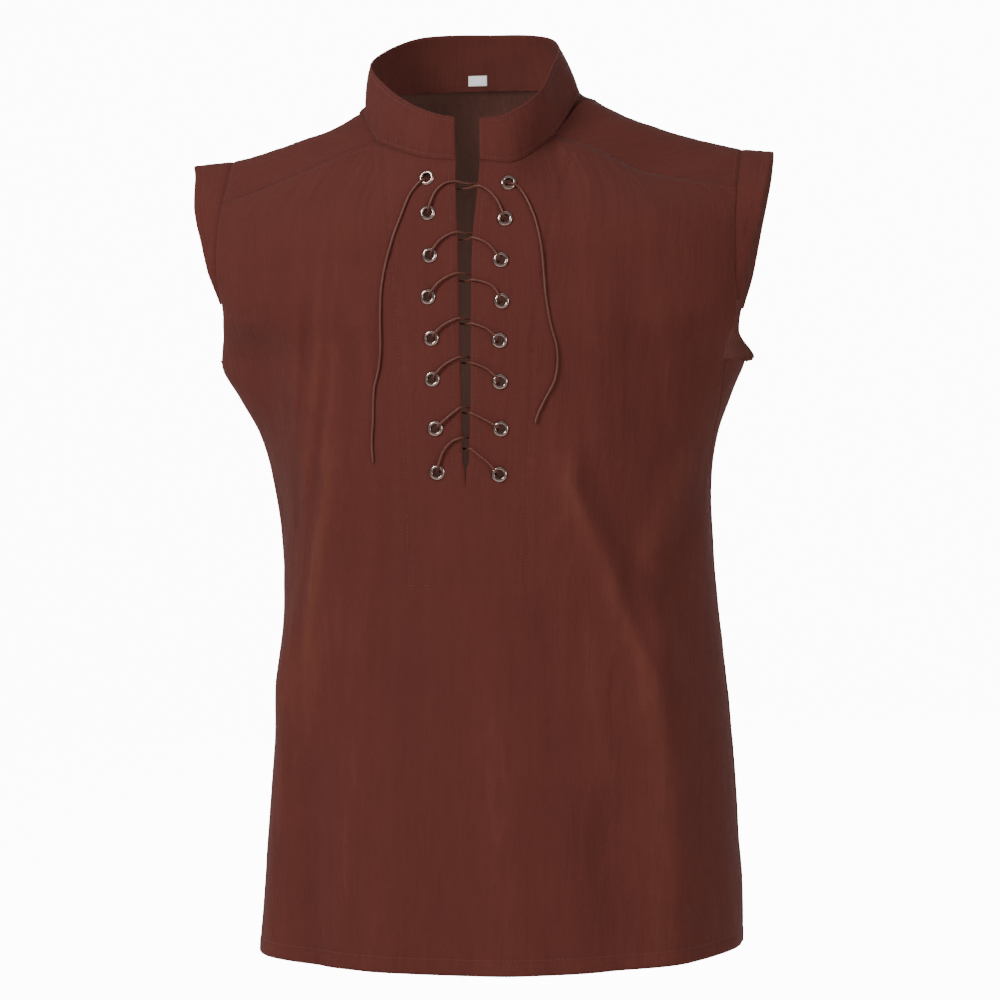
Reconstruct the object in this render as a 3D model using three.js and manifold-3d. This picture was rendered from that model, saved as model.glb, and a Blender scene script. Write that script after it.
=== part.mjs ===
// A sleeveless pullover tunic of light crinkled cloth, laced at the chest, in its worn hollow form.
// Millimetres. The front faces -Y, +Z is up, and the origin is midway between the shoulders it hangs from.
import * as THREE from "three";
import { mergeVertices } from "three/addons/utils/BufferGeometryUtils.js";
import Module from "manifold-3d";

const WALL = 1.5;
const SEAM_GAP = 0.3;
const FRONT_COLUMNS = 18;
const BACK_COLUMNS = 14;
const NECK_SHARE_FRONT = 0.3;
const NECK_SHARE_BACK = 0.45;
const SLIT_END = -321;
const SLIT_SPREAD = 60;
const SLIT_CENTRE = 1.2;
const NECK_FRONT_INDEX = 4;
const NECK_LAST_INDEX = 10;
const COLLAR_STEPS = 4;
const COLLAR_GAP = 0.7;
const CAP_WIDTHS = { left: 27.5, right: 23.5 };
const CAP_TAPERS = { left: [1.1, 1.3], right: [0.85, 1.7] };
const CAP_SLOPE = 0.4;
const CAP_LOWEST = -172;
const ARMHOLE_FROM = 500;

const EYELET_BORE = 3.6;
const EYELET_BARREL = 4.3;
const EYELET_FLANGE = 6.2;
const EYELET_HOLE = 4.6;
const EYELET_SEAT = 0.4;
const EYELET_BACK = 0.85;
const LACE_RADIUS = 0.9;
const LACE_SIDES = 8;

const table = (columns, rows) =>
  rows.map((row) => Object.fromEntries(columns.split(" ").map((name, i) => [name, row[i]])));

// Rings below the armholes. "seam" is the turn in degrees from the centre front to the side seam.
const SECTIONS = table("at z left right front back power seamLeft seamRight liftLeft liftRight", [
  [0, -700, -184.8, 207.5, 135, 134, 2.4, 90, 90, 5, 12],
  [39, -661, -182, 207.5, 133.5, 133, 2.4, 90, 90, 3, 8],
  [105, -595, -178, 204, 131, 130, 2.4, 90, 90, 0, 0],
  [171, -529, -173, 199.6, 128.5, 127, 2.4, 90, 90, 0, 0],
  [237, -463, -169, 193.2, 126, 125, 2.4, 90, 90, 0, 0],
  [287, -413, -167.5, 187.2, 124.5, 123, 2.4, 90, 90, 0, 0],
  [337, -363, -171.8, 183.4, 123, 121, 2.4, 90, 90, 0, 0],
  [379, -321, -178.6, 181.8, 122.3, 120, 2.35, 90, 89, 0, 0],
  [403, -297, -183.7, 183.6, 122, 119.5, 2.3, 90, 86, 0, 0],
  [430, -270, -190, 189, 121.5, 119, 2.2, 88, 82, 0, 0],
  [455, -245, -198, 195.5, 121, 118.5, 2.1, 86, 77, 0, 0],
  [476, -226, -204, 208, 120.5, 118, 2, 84, 70, 8, 8],
]);

// Rows beside the front armhole: the centre point, then the armhole edge of each side.
const FRONT_ARMHOLE = table("at z depth leftX leftY leftZ rightX rightY rightZ power turn", [
  [514, -186, 119.5, -213, -46, -184, 208.5, -55, -184, 2.1, 76],
  [554, -146, 116.5, -214.5, -62, -150, 207.5, -64, -150, 2.1, 66],
  [594, -104, 109.5, -215, -58, -114, 207.5, -58, -112, 2.1, 58],
]);
const FRONT_TOP_AT = 636;

// Rows beside the back armhole, up to the top of the shoulder.
const BACK_ARMHOLE = table("at z depth leftX leftY leftZ rightX rightY rightZ power turn", [
  [485, -219, 118, -206, 2, -215.5, 214.5, 2, -216, 2, 90],
  [514, -186, 117.5, -216, 47, -190, 202, 47, -191, 2.1, 76],
  [560, -140, 115, -215, 65, -145, 207.5, 65, -145, 2.1, 66],
  [608, -90, 108, -215, 52, -98, 207.5, 52, -98, 2.1, 58],
  [655, -38, 97, -215, 26, -63, 207.5, 26, -62, 2.1, 52],
]);
const BACK_RIDGE_AT = 688;
const BACK_TOP_AT = 730;

const NECK_BASE = {
  left: [[-1, -98.5, -61], [-28, -97, -59], [-50, -88, -54], [-70, -71, -47], [-85, -52, -39],
    [-98, -27, -19], [-101.5, 0, -3], [-92, 32, 7], [-70, 56, 11.5], [-40, 71, 14], [-8, 76, 15]],
  right: [[-1, -98.5, -61], [27, -96, -63.5], [42, -86, -57], [53, -71, -47], [62, -55, -37.5],
    [71, -28, -18], [75, 0, 0], [69, 32, 8], [55, 56, 12], [26, 71, 14], [-8, 76, 15]],
};
const COLLAR_TOP = {
  left: [[-2.5, -93, -27], [-22, -91.5, -23.5], [-43, -85, -16.5], [-62, -69, -7], [-77, -49, 4.5],
    [-94, -22, 21], [-97.5, 2, 33], [-87, 31, 47], [-67, 53, 57.5], [-39, 66, 61], [-8, 70, 61]],
  right: [[-2.5, -93, -28], [19, -91, -26], [34, -84, -18.5], [47, -73, -9], [55, -58, 3],
    [57, -30, 20.5], [58, 0, 35], [53, 30, 47], [42, 52, 55.5], [20, 66, 60], [-8, 70, 61]],
};
// The seam on the front of each shoulder, neck first.
const SHOULDER_SEAM = {
  left: [[-85, -52, -39], [-118, -50, -51], [-151, -48, -64.5], [-183, -46, -77], [-214.5, -45, -88]],
  right: [[62, -55, -37.5], [98, -50, -49.5], [130, -49, -66], [167, -47, -73.5], [207.5, -44, -80]],
};
// The top of the back panel behind the neck, and the top line of each shoulder, neck first.
const NECK_BAND = {
  left: [[-3, 89, -8], [-31, 87, -8.5], [-60, 77, -8], [-86, 58, -8], [-103, 33, -9.5], [-108.5, 15, -11.5], [-109, 4, -12.5]],
  right: [[-3, 89, -8], [24, 87, -8.5], [48, 77, -8], [70, 58, -8], [84, 33, -6], [88, 15, -4.5], [87, 4, -4]],
};
const SHOULDER_LINE = {
  left: [[-109, 4, -12.5], [-132, 3, -24], [-160, 1, -33.5], [-190, 0, -43], [-215, 0, -49]],
  right: [[87, 4, -4], [112, 3, -17], [145, 1, -29.5], [178, 0, -39], [207.5, 0, -46]],
};
const SLIT_HALF_WIDTHS = table("z half", [
  [SLIT_END, 0], [-311, 1.1], [-303, 2.7], [-252, 4.1], [-173, 5.1], [-123, 6], [-82, 9.3], [-61, 9.9], [-27, 10.5],
]);

// How far the cloth is pulled out at the left underarm, along v, on the front and on the back.
const PULL_AT = [380, 405, 430, 455, 476, 485, 500, 514, 560, 740];
const PULL_OUT = {
  front: [0, 0, 3, 10, 19, 15, 6, 0, 0, 0],
  back: [0, 0, 3, 10, 19, 20, 11, 0, 0, 0],
};
const PULL_REACH = 0.17;
const SEAM_TOP_AT = 476;
const BACK_CORNER_AT = 485;

// Large soft folds: a line from x1,z1 to x2,z2 on the panel, with its half width and height.
const FRONT_FOLDS = table("x1 z1 x2 z2 width height", [
  [-106, -318, -146, -480, 17, 6],
  [-146, -480, -163, -700, 17, 6.5],
  [-172, -250, -168, -330, 20, -8],
  [-128, -560, -124, -700, 13, -4],
  [-55, -372, -60, -452, 36, -4.5],
  [82, -318, 146, -446, 18, 5],
  [146, -446, 163, -690, 20, 7],
  [112, -600, 120, -700, 15, -4],
  [40, -560, 36, -700, 22, 3.5],
  [-60, -600, -66, -700, 18, 3],
]);
const BACK_FOLDS = table("x1 z1 x2 z2 width height", [
  [-148, -380, -160, -700, 20, 5.5],
  [-92, -300, -104, -700, 24, -4.5],
  [-30, -250, -36, -700, 26, 4],
  [48, -300, 56, -700, 26, -4],
  [104, -260, 124, -700, 22, 5],
  [160, -380, 172, -700, 18, -5],
  [0, -120, 0, -190, 60, 2.5],
]);

// Where each eyelet sits on the front, top pair first, and where its two strands meet the slit. Each
// strand bends at a share of the way across and a share of the way up to the slit.
const EYELETS = table(
  "leftX leftZ rightX rightZ crossLeft crossRight bendLeft riseLeft bendRight riseRight", [
    [-33.4, -75.5, 32.0, -80.3, 0, 0, 0, 0, 0, 0],
    [-31.2, -103.9, 30.6, -109.2, -79.1, -83, 0.22, 1, 0.3, 0.87],
    [-28.6, -137.8, 28.1, -142, -119.6, -124.4, 0.33, 0.85, 0.36, 0.85],
    [-29.4, -170.6, 29.3, -174.4, -152.2, -157.7, 0.36, 0.82, 0.24, 0.9],
    [-26.5, -203.2, 27.8, -205.3, -187.6, -191.9, 0.34, 0.72, 0.37, 0.79],
    [-25.6, -235.2, 28.3, -237.6, -218.1, -222.8, 0.36, 0.73, 0.37, 0.78],
    [-23, -274, 29, -274.5, -257.6, -262, 0.45, 0.58, 0.48, 0.64],
    [-21.5, -308.4, 27.9, -310.1, -281.5, -290, 0.26, 0.9, 0.43, 0.62],
  ]);
// The free ends of the lace on the front, from beside their eyelet to the cut end: x and z.
const TAIL_LINES = {
  left: [[-41, -81.5], [-46.7, -89.7], [-52.9, -106.9], [-57.9, -121.6], [-63.5, -142.2], [-67.1, -164.3],
    [-67.8, -188.1], [-67.7, -211], [-69.8, -229.1], [-73, -243.2], [-73.7, -266.9], [-74.7, -284.3],
    [-73.7, -300.4]],
  right: [[39.5, -84.3], [44.5, -90.3], [51.1, -102.4], [55.3, -112.8], [59.1, -127.9], [61.4, -146.9],
    [64, -172.8], [68, -194.8], [71.6, -208.1], [72.5, -222.1], [70.1, -237], [64.4, -248.8],
    [58.3, -261.3], [55.7, -269.9]],
};
const LACE_ON_CLOTH = 1.35;
const LACE_UNDER_CLOTH = -2.9;

const mix = (a, b, t) => a + (b - a) * t;
const clamp = (value, low, high) => Math.min(high, Math.max(low, value));
const mixPoint = (a, b, t) => a.map((value, i) => mix(value, b[i], t));
const along = (a, b, t) => a.map((value, i) => value + b[i] * t);
const sign = (side) => (side === "left" ? -1 : 1);

function unit(v) {
  const length = Math.hypot(...v);
  return v.map((value) => value / length);
}

function cross(a, b) {
  return [a[1] * b[2] - a[2] * b[1], a[2] * b[0] - a[0] * b[2], a[0] * b[1] - a[1] * b[0]];
}

// A smooth curve through points that sit at rising knots. At the knot "held", the slope leans to the
// one of the span below by the share "hold", which lets two curves with the same lower part agree.
function splineAt(knots, points, t, held = -1, hold = 0) {
  const last = knots.length - 1;
  let i = 0;
  while (i < last - 1 && t > knots[i + 1]) i += 1;
  const span = knots[i + 1] - knots[i];
  const s = (t - knots[i]) / span;
  const slope = (k, axis) => {
    const rate = (a) => (points[a + 1][axis] - points[a][axis]) / (knots[a + 1] - knots[a]);
    if (k === 0) return rate(0);
    if (k === last) return rate(last - 1);
    const free = mix(rate(k - 1), rate(k), (knots[k] - knots[k - 1]) / (knots[k + 1] - knots[k - 1]));
    return k === held ? mix(free, rate(k - 1), hold) : free;
  };
  const s2 = s * s;
  const s3 = s2 * s;
  return [0, 1, 2].map((axis) =>
    (2 * s3 - 3 * s2 + 1) * points[i][axis] + (s3 - 2 * s2 + s) * span * slope(i, axis) +
    (3 * s2 - 2 * s3) * points[i + 1][axis] + (s3 - s2) * span * slope(i + 1, axis));
}

const indices = (points) => points.map((_, i) => i);
const curveAt = (points, share) => splineAt(indices(points), points, share * (points.length - 1));

function slitHalf(z) {
  const rows = SLIT_HALF_WIDTHS;
  if (z <= rows[0].z) return 0;
  for (let i = 1; i < rows.length; i += 1) {
    if (z <= rows[i].z) {
      return mix(rows[i - 1].half, rows[i].half, (z - rows[i - 1].z) / (rows[i].z - rows[i - 1].z));
    }
  }
  return rows[rows.length - 1].half;
}

function slitCentre(z) {
  return mix(SLIT_CENTRE, -1.5, clamp((z + 250) / 190, 0, 1));
}

// Moves points near the centre front apart, so that the slit stands open above its end.
function openSlit(point, side) {
  const near = Math.max(0, 1 - Math.abs(point[0] - slitCentre(point[2])) / SLIT_SPREAD);
  const share = near * clamp(-point[1] / 40, 0, 1);
  return [point[0] + sign(side) * slitHalf(point[2]) * share, point[1], point[2]];
}

const power = (value, exponent) => Math.sign(value) * Math.abs(value) ** exponent;

// A row that runs from the centre line to its edge point along part of a superellipse.
function arcRow(centreY, centreZ, edge, bend, turn) {
  const end = THREE.MathUtils.degToRad(turn);
  const reach = power(Math.sin(end), 2 / bend);
  const sweep = 1 - power(Math.cos(end), 2 / bend);
  const centreX = slitCentre(centreZ);
  return (u) => {
    const out = power(Math.sin(u * end), 2 / bend) / reach;
    const round = (1 - power(Math.cos(u * end), 2 / bend)) / sweep;
    return [mix(centreX, edge[0], out), mix(centreY, edge[1], round), mix(centreZ, edge[2], out * out)];
  };
}

function ringRow(section, side, face) {
  const seam = side === "left" ? section.seamLeft : section.seamRight;
  const lift = side === "left" ? section.liftLeft : section.liftRight;
  const widest = section[side];
  const angle = THREE.MathUtils.degToRad(seam);
  const exponent = 2 / section.power;
  const edge = [
    widest * power(Math.sin(angle), exponent),
    -section.front * power(Math.cos(angle), exponent),
    section.z + lift,
  ];
  if (face === "front") return arcRow(-section.front, section.z, edge, section.power, seam);
  return arcRow(section.back, section.z, edge, section.power, 180 - seam);
}

function armholeRow(row, side, face) {
  const edge = [row[side + "X"], row[side + "Y"], row[side + "Z"]];
  return arcRow(face === "front" ? -row.depth : row.depth, row.z, edge, row.power, row.turn);
}

function frontRows(side) {
  const rows = SECTIONS.map((section) => ({ at: section.at, point: ringRow(section, side, "front") }));
  FRONT_ARMHOLE.forEach((row) => rows.push({ at: row.at, point: armholeRow(row, side, "front") }));
  rows.push({
    at: FRONT_TOP_AT,
    point: (u) => {
      if (u > NECK_SHARE_FRONT) {
        return curveAt(SHOULDER_SEAM[side], (u - NECK_SHARE_FRONT) / (1 - NECK_SHARE_FRONT));
      }
      const share = (u / NECK_SHARE_FRONT) * (NECK_FRONT_INDEX / NECK_LAST_INDEX);
      return curveAt(NECK_BASE[side], share);
    },
  });
  return rows;
}

function backRows(side) {
  const rows = SECTIONS.map((section) => ({ at: section.at, point: ringRow(section, side, "back") }));
  BACK_ARMHOLE.forEach((row) => rows.push({ at: row.at, point: armholeRow(row, side, "back") }));
  const overNeck = (u) => u < NECK_SHARE_BACK;
  const outer = (u) => (u - NECK_SHARE_BACK) / (1 - NECK_SHARE_BACK);
  rows.push({
    at: BACK_RIDGE_AT,
    point: (u) => overNeck(u)
      ? curveAt(NECK_BAND[side], u / NECK_SHARE_BACK)
      : curveAt(SHOULDER_LINE[side], outer(u)),
  });
  rows.push({
    at: BACK_TOP_AT,
    point: (u) => overNeck(u)
      ? curveAt(NECK_BASE[side], 1 - (u / NECK_SHARE_BACK) * (1 - NECK_FRONT_INDEX / NECK_LAST_INDEX))
      : curveAt(SHOULDER_SEAM[side], outer(u)),
  });
  return rows;
}

function foldHeight(folds, x, z) {
  return folds.reduce((sum, fold) => {
    const dx = fold.x2 - fold.x1;
    const dz = fold.z2 - fold.z1;
    const t = ((x - fold.x1) * dx + (z - fold.z1) * dz) / (dx * dx + dz * dz);
    const near = clamp(t, 0, 1);
    const away = Math.hypot(x - fold.x1 - dx * near, (z - fold.z1 - dz * near) * 0.45);
    return sum + fold.height * Math.exp(-((away / fold.width) ** 2));
  }, 0);
}

// A panel as a smooth surface: u runs from the centre to the edge of one side, v up the cloth.
class Panel {
  constructor(face, rowsOf, folds, neckShare) {
    this.face = face;
    this.folds = folds;
    this.neckShare = neckShare;
    this.rows = { left: rowsOf("left"), right: rowsOf("right") };
    this.knots = this.rows.left.map((row) => row.at);
    this.top = this.knots[this.knots.length - 1];
  }

  plain(side, u, v) {
    const rowPoints = this.rows[side].map((row) => row.point(u));
    const point = splineAt(this.knots, rowPoints, v, SECTIONS.length - 1, u ** 6);
    if (side === "left" && v > PULL_AT[0]) {
      const pull = splineAt(PULL_AT, PULL_OUT[this.face].map((value) => [value, 0, 0]), v)[0];
      point[0] -= pull * Math.exp(-(((1 - u) / PULL_REACH) ** 2));
    }
    return this.face === "front" ? openSlit(point, side) : point;
  }

  normal(side, u, v) {
    if (u > 0) return this.sideNormal(side, u, v);
    return unit(along(this.sideNormal("left", 0, v), this.sideNormal("right", 0, v), 1));
  }

  sideNormal(side, u, v) {
    const du = 0.004;
    const dv = 1.5;
    const u1 = clamp(u, du, 1 - du);
    const v1 = clamp(v, dv, this.top - dv);
    const across = along(this.plain(side, u1 + du, v1), this.plain(side, u1 - du, v1), -1);
    const up = along(this.plain(side, u1, v1 + dv), this.plain(side, u1, v1 - dv), -1);
    const facing = sign(side) * (this.face === "front" ? 1 : -1);
    return unit(cross(across, up).map((value) => value * facing));
  }

  point(side, u, v) {
    const base = this.plain(side, u, v);
    const fade = clamp((1 - u) / 0.14, 0, 1);
    const height = foldHeight(this.folds, base[0], base[2]) * fade * fade * (3 - 2 * fade);
    return along(base, this.normal(side, u, v), height);
  }

  wall(side, u, v) {
    const outer = this.point(side, u, v);
    const onSeam = v > this.top - 1 && u > this.neckShare;
    const normal = onSeam ? shoulderNormal(side, (u - this.neckShare) / (1 - this.neckShare)) : this.normal(side, u, v);
    return { outer, inner: along(outer, normal, -WALL) };
  }

  // The place on the cloth with the given x and z, and the direction out of it.
  find(x, z) {
    const side = x < slitCentre(z) ? "left" : "right";
    let best = [0, 0];
    let nearest = Infinity;
    for (let i = 0; i <= 20; i += 1) {
      for (let k = 0; k <= 40; k += 1) {
        const p = this.plain(side, i / 20, (this.top * k) / 40);
        const away = Math.hypot(p[0] - x, p[2] - z);
        if (away < nearest) {
          nearest = away;
          best = [i / 20, (this.top * k) / 40];
        }
      }
    }
    let [u, v] = best;
    for (let step = 0; step < 12; step += 1) {
      const p = this.point(side, u, v);
      const pu = this.point(side, u + 1e-3, v);
      const pv = this.point(side, u, v + 0.05);
      const a = (pu[0] - p[0]) / 1e-3;
      const b = (pv[0] - p[0]) / 0.05;
      const c = (pu[2] - p[2]) / 1e-3;
      const d = (pv[2] - p[2]) / 0.05;
      const det = a * d - b * c;
      u = clamp(u + (d * (x - p[0]) - b * (z - p[2])) / det, 0, 1);
      v = clamp(v + (a * (z - p[2]) - c * (x - p[0])) / det, 0, this.top);
    }
    const point = this.point(side, u, v);
    return { point: [x, point[1], point[2] + (z - point[2])], normal: this.normal(side, u, v) };
  }
}

const frontPanel = new Panel("front", frontRows, FRONT_FOLDS, NECK_SHARE_FRONT);
const backPanel = new Panel("back", backRows, BACK_FOLDS, NECK_SHARE_BACK);

// The direction out of the cloth on the shoulder seam, midway between those of the two panels.
function shoulderNormal(side, share) {
  const [a, b] = [frontPanel, backPanel].map((panel) =>
    panel.normal(side, mix(panel.neckShare, 1, share), panel.top));
  return unit(along(a, b, 1));
}

// Turns the triangles of an outer skin, whose corners carry their inner points, into a closed wall.
function wallFrom(corners) {
  const slots = new Map();
  const outers = [];
  const inners = [];
  const index = corners.map(({ outer, inner }) => {
    const key = outer.map((value) => Math.round(value * 500)).join("_");
    if (!slots.has(key)) {
      slots.set(key, outers.length);
      outers.push(outer);
      inners.push(inner);
    }
    return slots.get(key);
  });
  const count = outers.length;
  const faces = [];
  const edges = new Map();
  for (let i = 0; i < index.length; i += 3) {
    const tri = [index[i], index[i + 1], index[i + 2]];
    if (tri[0] === tri[1] || tri[1] === tri[2] || tri[0] === tri[2]) continue;
    faces.push(...tri, tri[2] + count, tri[1] + count, tri[0] + count);
    tri.forEach((from, k) => edges.set(from + "_" + tri[(k + 1) % 3], [from, tri[(k + 1) % 3]]));
  }
  edges.forEach(([from, to]) => {
    if (edges.has(to + "_" + from)) return;
    faces.push(to, from, from + count, to, from + count, to + count);
  });
  const wall = new THREE.BufferGeometry();
  wall.setAttribute("position", new THREE.Float32BufferAttribute(outers.concat(inners).flat(), 3));
  wall.setIndex(faces);
  return wall;
}

// Corners of the triangles of a grid whose places come from a function; "turned" flips the faces.
function gridFaces(across, up, placeAt, turned) {
  const corners = [];
  const places = across.map((u) => up.map((v) => placeAt(u, v)));
  for (let i = 0; i + 1 < across.length; i += 1) {
    for (let k = 0; k + 1 < up.length; k += 1) {
      const quad = [places[i][k], places[i + 1][k], places[i + 1][k + 1], places[i][k + 1]];
      const order = turned ? [0, 2, 1, 0, 3, 2] : [0, 1, 2, 0, 2, 3];
      order.forEach((corner) => corners.push(quad[corner]));
    }
  }
  return corners;
}

function spread(first, last, count, easing = 1) {
  return Array.from({ length: count + 1 }, (_, i) => mix(first, last, (i / count) ** easing));
}

function panelRows(panel) {
  const slitAt = SECTIONS.find((section) => section.z === SLIT_END).at;
  const top = panel.top - SEAM_GAP / 2;
  const low = spread(0, slitAt, panel.face === "front" ? 11 : 10);
  const corner = panel.face === "front" ? SEAM_TOP_AT : BACK_CORNER_AT;
  const middle = spread(slitAt, SEAM_TOP_AT, 5).slice(1);
  if (corner > SEAM_TOP_AT) middle.push(corner);
  return low.concat(middle, spread(corner, top, Math.round((top - corner) / 20)).slice(1));
}

function panelGeometry(panel, columns, neckColumns) {
  const edge = 1 - SEAM_GAP / 2 / 270;
  const across = spread(0, panel.neckShare, neckColumns).concat(
    spread(panel.neckShare, edge, columns - neckColumns).slice(1));
  const up = panelRows(panel);
  const faces = ["left", "right"].flatMap((side) =>
    gridFaces(across, up, (u, v) => panel.wall(side, u, v), (side === "left") === (panel.face === "front")));
  return wallFrom(faces);
}

function collarPoint(side, share, height) {
  const base = openSlit(curveAt(NECK_BASE[side], share), side);
  const top = openSlit(curveAt(COLLAR_TOP[side], share), side);
  return mixPoint(base, top, height);
}

function collarNormal(side, share, height) {
  if (share < 1) return collarSideNormal(side, share, height);
  return unit(along(collarSideNormal("left", 1, height), collarSideNormal("right", 1, height), 1));
}

function collarSideNormal(side, share, height) {
  const s = clamp(share, 0.004, 0.996);
  const across = along(collarPoint(side, s + 0.004, height), collarPoint(side, s - 0.004, height), -1);
  const up = along(collarPoint(side, s, 1), collarPoint(side, s, 0), -1);
  return unit(cross(across, up).map((value) => value * sign(side)));
}

// A place in the collar's wall, with a skin of the given depth that starts below the outer surface.
function collarWall(side, share, height, start = 0, depth = WALL) {
  const bow = 1.2 * Math.sin(Math.PI * height);
  const normal = collarNormal(side, share, height);
  const outer = along(collarPoint(side, share, height), normal, bow - start);
  return { outer, inner: along(outer, normal, -depth) };
}

function collarGeometry() {
  const across = spread(0, 1, 20);
  const up = spread(COLLAR_GAP / 34, 1, COLLAR_STEPS);
  const faces = ["left", "right"].flatMap((side) =>
    gridFaces(across, up, (share, height) => collarWall(side, share, height), side === "left"));
  return wallFrom(faces);
}

// A small plain tab of tape inside the back of the collar.
function labelGeometry() {
  const across = spread(0.934, 0.982, 3);
  const up = spread(0.1, 0.28, 1);
  const inside = (share, height) => collarWall("left", share, height, WALL + 0.55, 0.5);
  return wallFrom(gridFaces(across, up, inside, true));
}

// The armhole seam of one side at the rows of the panels, from the low front end to the low back end.
function armholeSeam(side) {
  const rowsOf = (panel) => panelRows(panel)
    .filter((v) => v > ARMHOLE_FROM)
    .map((v) => ({ p: panel.point(side, 1, v), n: panel.normal(side, 1, v) }))
    .filter(({ p }) => p[2] > CAP_LOWEST);
  const front = rowsOf(frontPanel);
  const back = rowsOf(backPanel).reverse();
  front[front.length - 1].n = shoulderNormal(side, 1);
  const places = front.concat(back.slice(1));
  let reach = 0;
  return places.map((place, i) => {
    if (i > 0) reach += Math.hypot(...along(place.p, places[i - 1].p, -1));
    return { ...place, reach };
  });
}

function capGeometry(side) {
  const seam = armholeSeam(side);
  const length = seam[seam.length - 1].reach;
  const outward = [sign(side), 0, 0];
  const placeAt = (i, w) => {
    const { p, n, reach } = seam[i];
    const share = reach / length;
    const crown = Math.sin(Math.PI * share);
    const slope = mix(0.75, CAP_SLOPE, crown ** 3);
    const lie = unit(along(outward, n, -(outward[0] * n[0]) * slope));
    const width = 2 + CAP_WIDTHS[side] * crown ** CAP_TAPERS[side][share < 0.5 ? 0 : 1];
    const outer = along(p, lie, SEAM_GAP + w * width);
    return { outer, inner: along(outer, n, -WALL) };
  };
  return wallFrom(gridFaces(indices(seam), spread(0, 1, 3), placeAt, side === "right"));
}

const wasm = await Module();
wasm.setup();

function solidFrom(geometry) {
  const bare = geometry.clone();
  bare.deleteAttribute("normal");
  bare.deleteAttribute("uv");
  const merged = mergeVertices(bare, 1e-4);
  const mesh = new wasm.Mesh({
    numProp: 3,
    vertProperties: new Float32Array(merged.getAttribute("position").array),
    triVerts: new Uint32Array(merged.index.array),
  });
  return new wasm.Manifold(mesh);
}

function geometryFrom(solid) {
  const mesh = solid.getMesh();
  const geometry = new THREE.BufferGeometry();
  geometry.setAttribute("position", new THREE.Float32BufferAttribute(mesh.vertProperties, 3));
  geometry.setIndex(new THREE.Uint32BufferAttribute(mesh.triVerts, 1));
  return geometry;
}

// Turns a shape built round +Y so that +Y lies along a direction, and moves it to a point.
function placed(geometry, point, direction) {
  const turn = new THREE.Quaternion().setFromUnitVectors(
    new THREE.Vector3(0, 1, 0), new THREE.Vector3(...direction));
  return geometry.applyQuaternion(turn).translate(...point);
}

const eyeletPlaces = EYELETS.flatMap((row, i) => [
  { name: "eyelet_left_" + (i + 1), x: row.leftX, z: row.leftZ },
  { name: "eyelet_right_" + (i + 1), x: row.rightX, z: row.rightZ },
]).map((place) => ({ ...place, ...frontPanel.find(place.x, place.z) }));

function eyeletGeometry({ point, normal }) {
  const under = -WALL - EYELET_BACK;
  const profile = [
    [EYELET_BORE, under - 0.45], [EYELET_BORE, 0.75], [4.6, 1.25], [EYELET_FLANGE, 0.6],
    [EYELET_FLANGE - 0.1, EYELET_SEAT], [EYELET_BARREL, EYELET_SEAT], [EYELET_BARREL, under],
    [5.3, under], [5.2, under - 0.45],
  ].reverse().map(([radius, height]) => new THREE.Vector2(radius, height));
  profile.push(profile[0].clone());
  return placed(new THREE.LatheGeometry(profile, 12), point, normal);
}

function frontGeometry() {
  let solid = solidFrom(panelGeometry(frontPanel, FRONT_COLUMNS, 7));
  eyeletPlaces.forEach(({ point, normal }) => {
    const cutter = new THREE.CylinderGeometry(EYELET_HOLE, EYELET_HOLE, 12, 14);
    solid = solid.subtract(solidFrom(placed(cutter, point, normal)));
  });
  return geometryFrom(solid);
}

// A cord path that is sampled exactly at its own points.
class CordPath extends THREE.Curve {
  constructor(points) {
    super();
    this.inner = new THREE.CatmullRomCurve3(points.map((p) => new THREE.Vector3(...p)));
  }

  getPoint(t, target) {
    return this.inner.getPoint(t, target);
  }

  getPointAt(t, target) {
    return this.inner.getPoint(t, target);
  }

  getTangentAt(t, target) {
    return this.inner.getTangent(t, target);
  }
}

function cordGeometry(points) {
  const ring = Array.from({ length: LACE_SIDES }, (_, i) => {
    const angle = (2 * Math.PI * i) / LACE_SIDES;
    return new THREE.Vector2(Math.cos(angle) * LACE_RADIUS, Math.sin(angle) * LACE_RADIUS);
  });
  const path = new CordPath(points);
  return new THREE.ExtrudeGeometry(new THREE.Shape(ring), { steps: points.length - 1, extrudePath: path });
}

const onFront = ([x, z, height]) => {
  const place = frontPanel.find(x, z);
  return along(place.point, place.normal, height);
};

const eyeletAt = (side, pair) => {
  const row = EYELETS[pair - 1];
  return [row[side + "X"], row[side + "Z"]];
};

function toward(from, to, distance) {
  const length = Math.hypot(to[0] - from[0], to[1] - from[1]);
  return [from[0] + ((to[0] - from[0]) * distance) / length, from[1] + ((to[1] - from[1]) * distance) / length];
}

const otherSide = (side) => (side === "left" ? "right" : "left");

// Where the strand from an eyelet drops through the slit, and the bend of its arc on the way there.
function crossing(side, pair) {
  const row = EYELETS[pair - 1];
  const name = side === "left" ? "Left" : "Right";
  const z = row["cross" + name];
  const eyelet = eyeletAt(side, pair);
  const x = slitCentre(z);
  return { slit: [x, z], bend: [mix(eyelet[0], x, row["bend" + name]), mix(eyelet[1], z, row["rise" + name])] };
}

function bezier(a, b, c, t) {
  return [0, 1].map((i) => (1 - t) * (1 - t) * a[i] + 2 * t * (1 - t) * b[i] + t * t * c[i]);
}

// From beneath, up through the bore of an eyelet: where it came from, and where it goes next.
function throughEyelet(side, pair, origin, target) {
  const eyelet = eyeletAt(side, pair);
  return [
    ...underEyelet(eyelet, origin),
    [...toward(eyelet, target, 2.2), 0.8],
    ...overFlange(eyelet, target),
  ];
}

const underEyelet = (eyelet, origin) => [
  [...toward(eyelet, origin, 7.5), -3.75],
  [...toward(eyelet, origin, 4.1), -4.15],
  [...toward(eyelet, origin, 2.1), -3.3],
];

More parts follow.
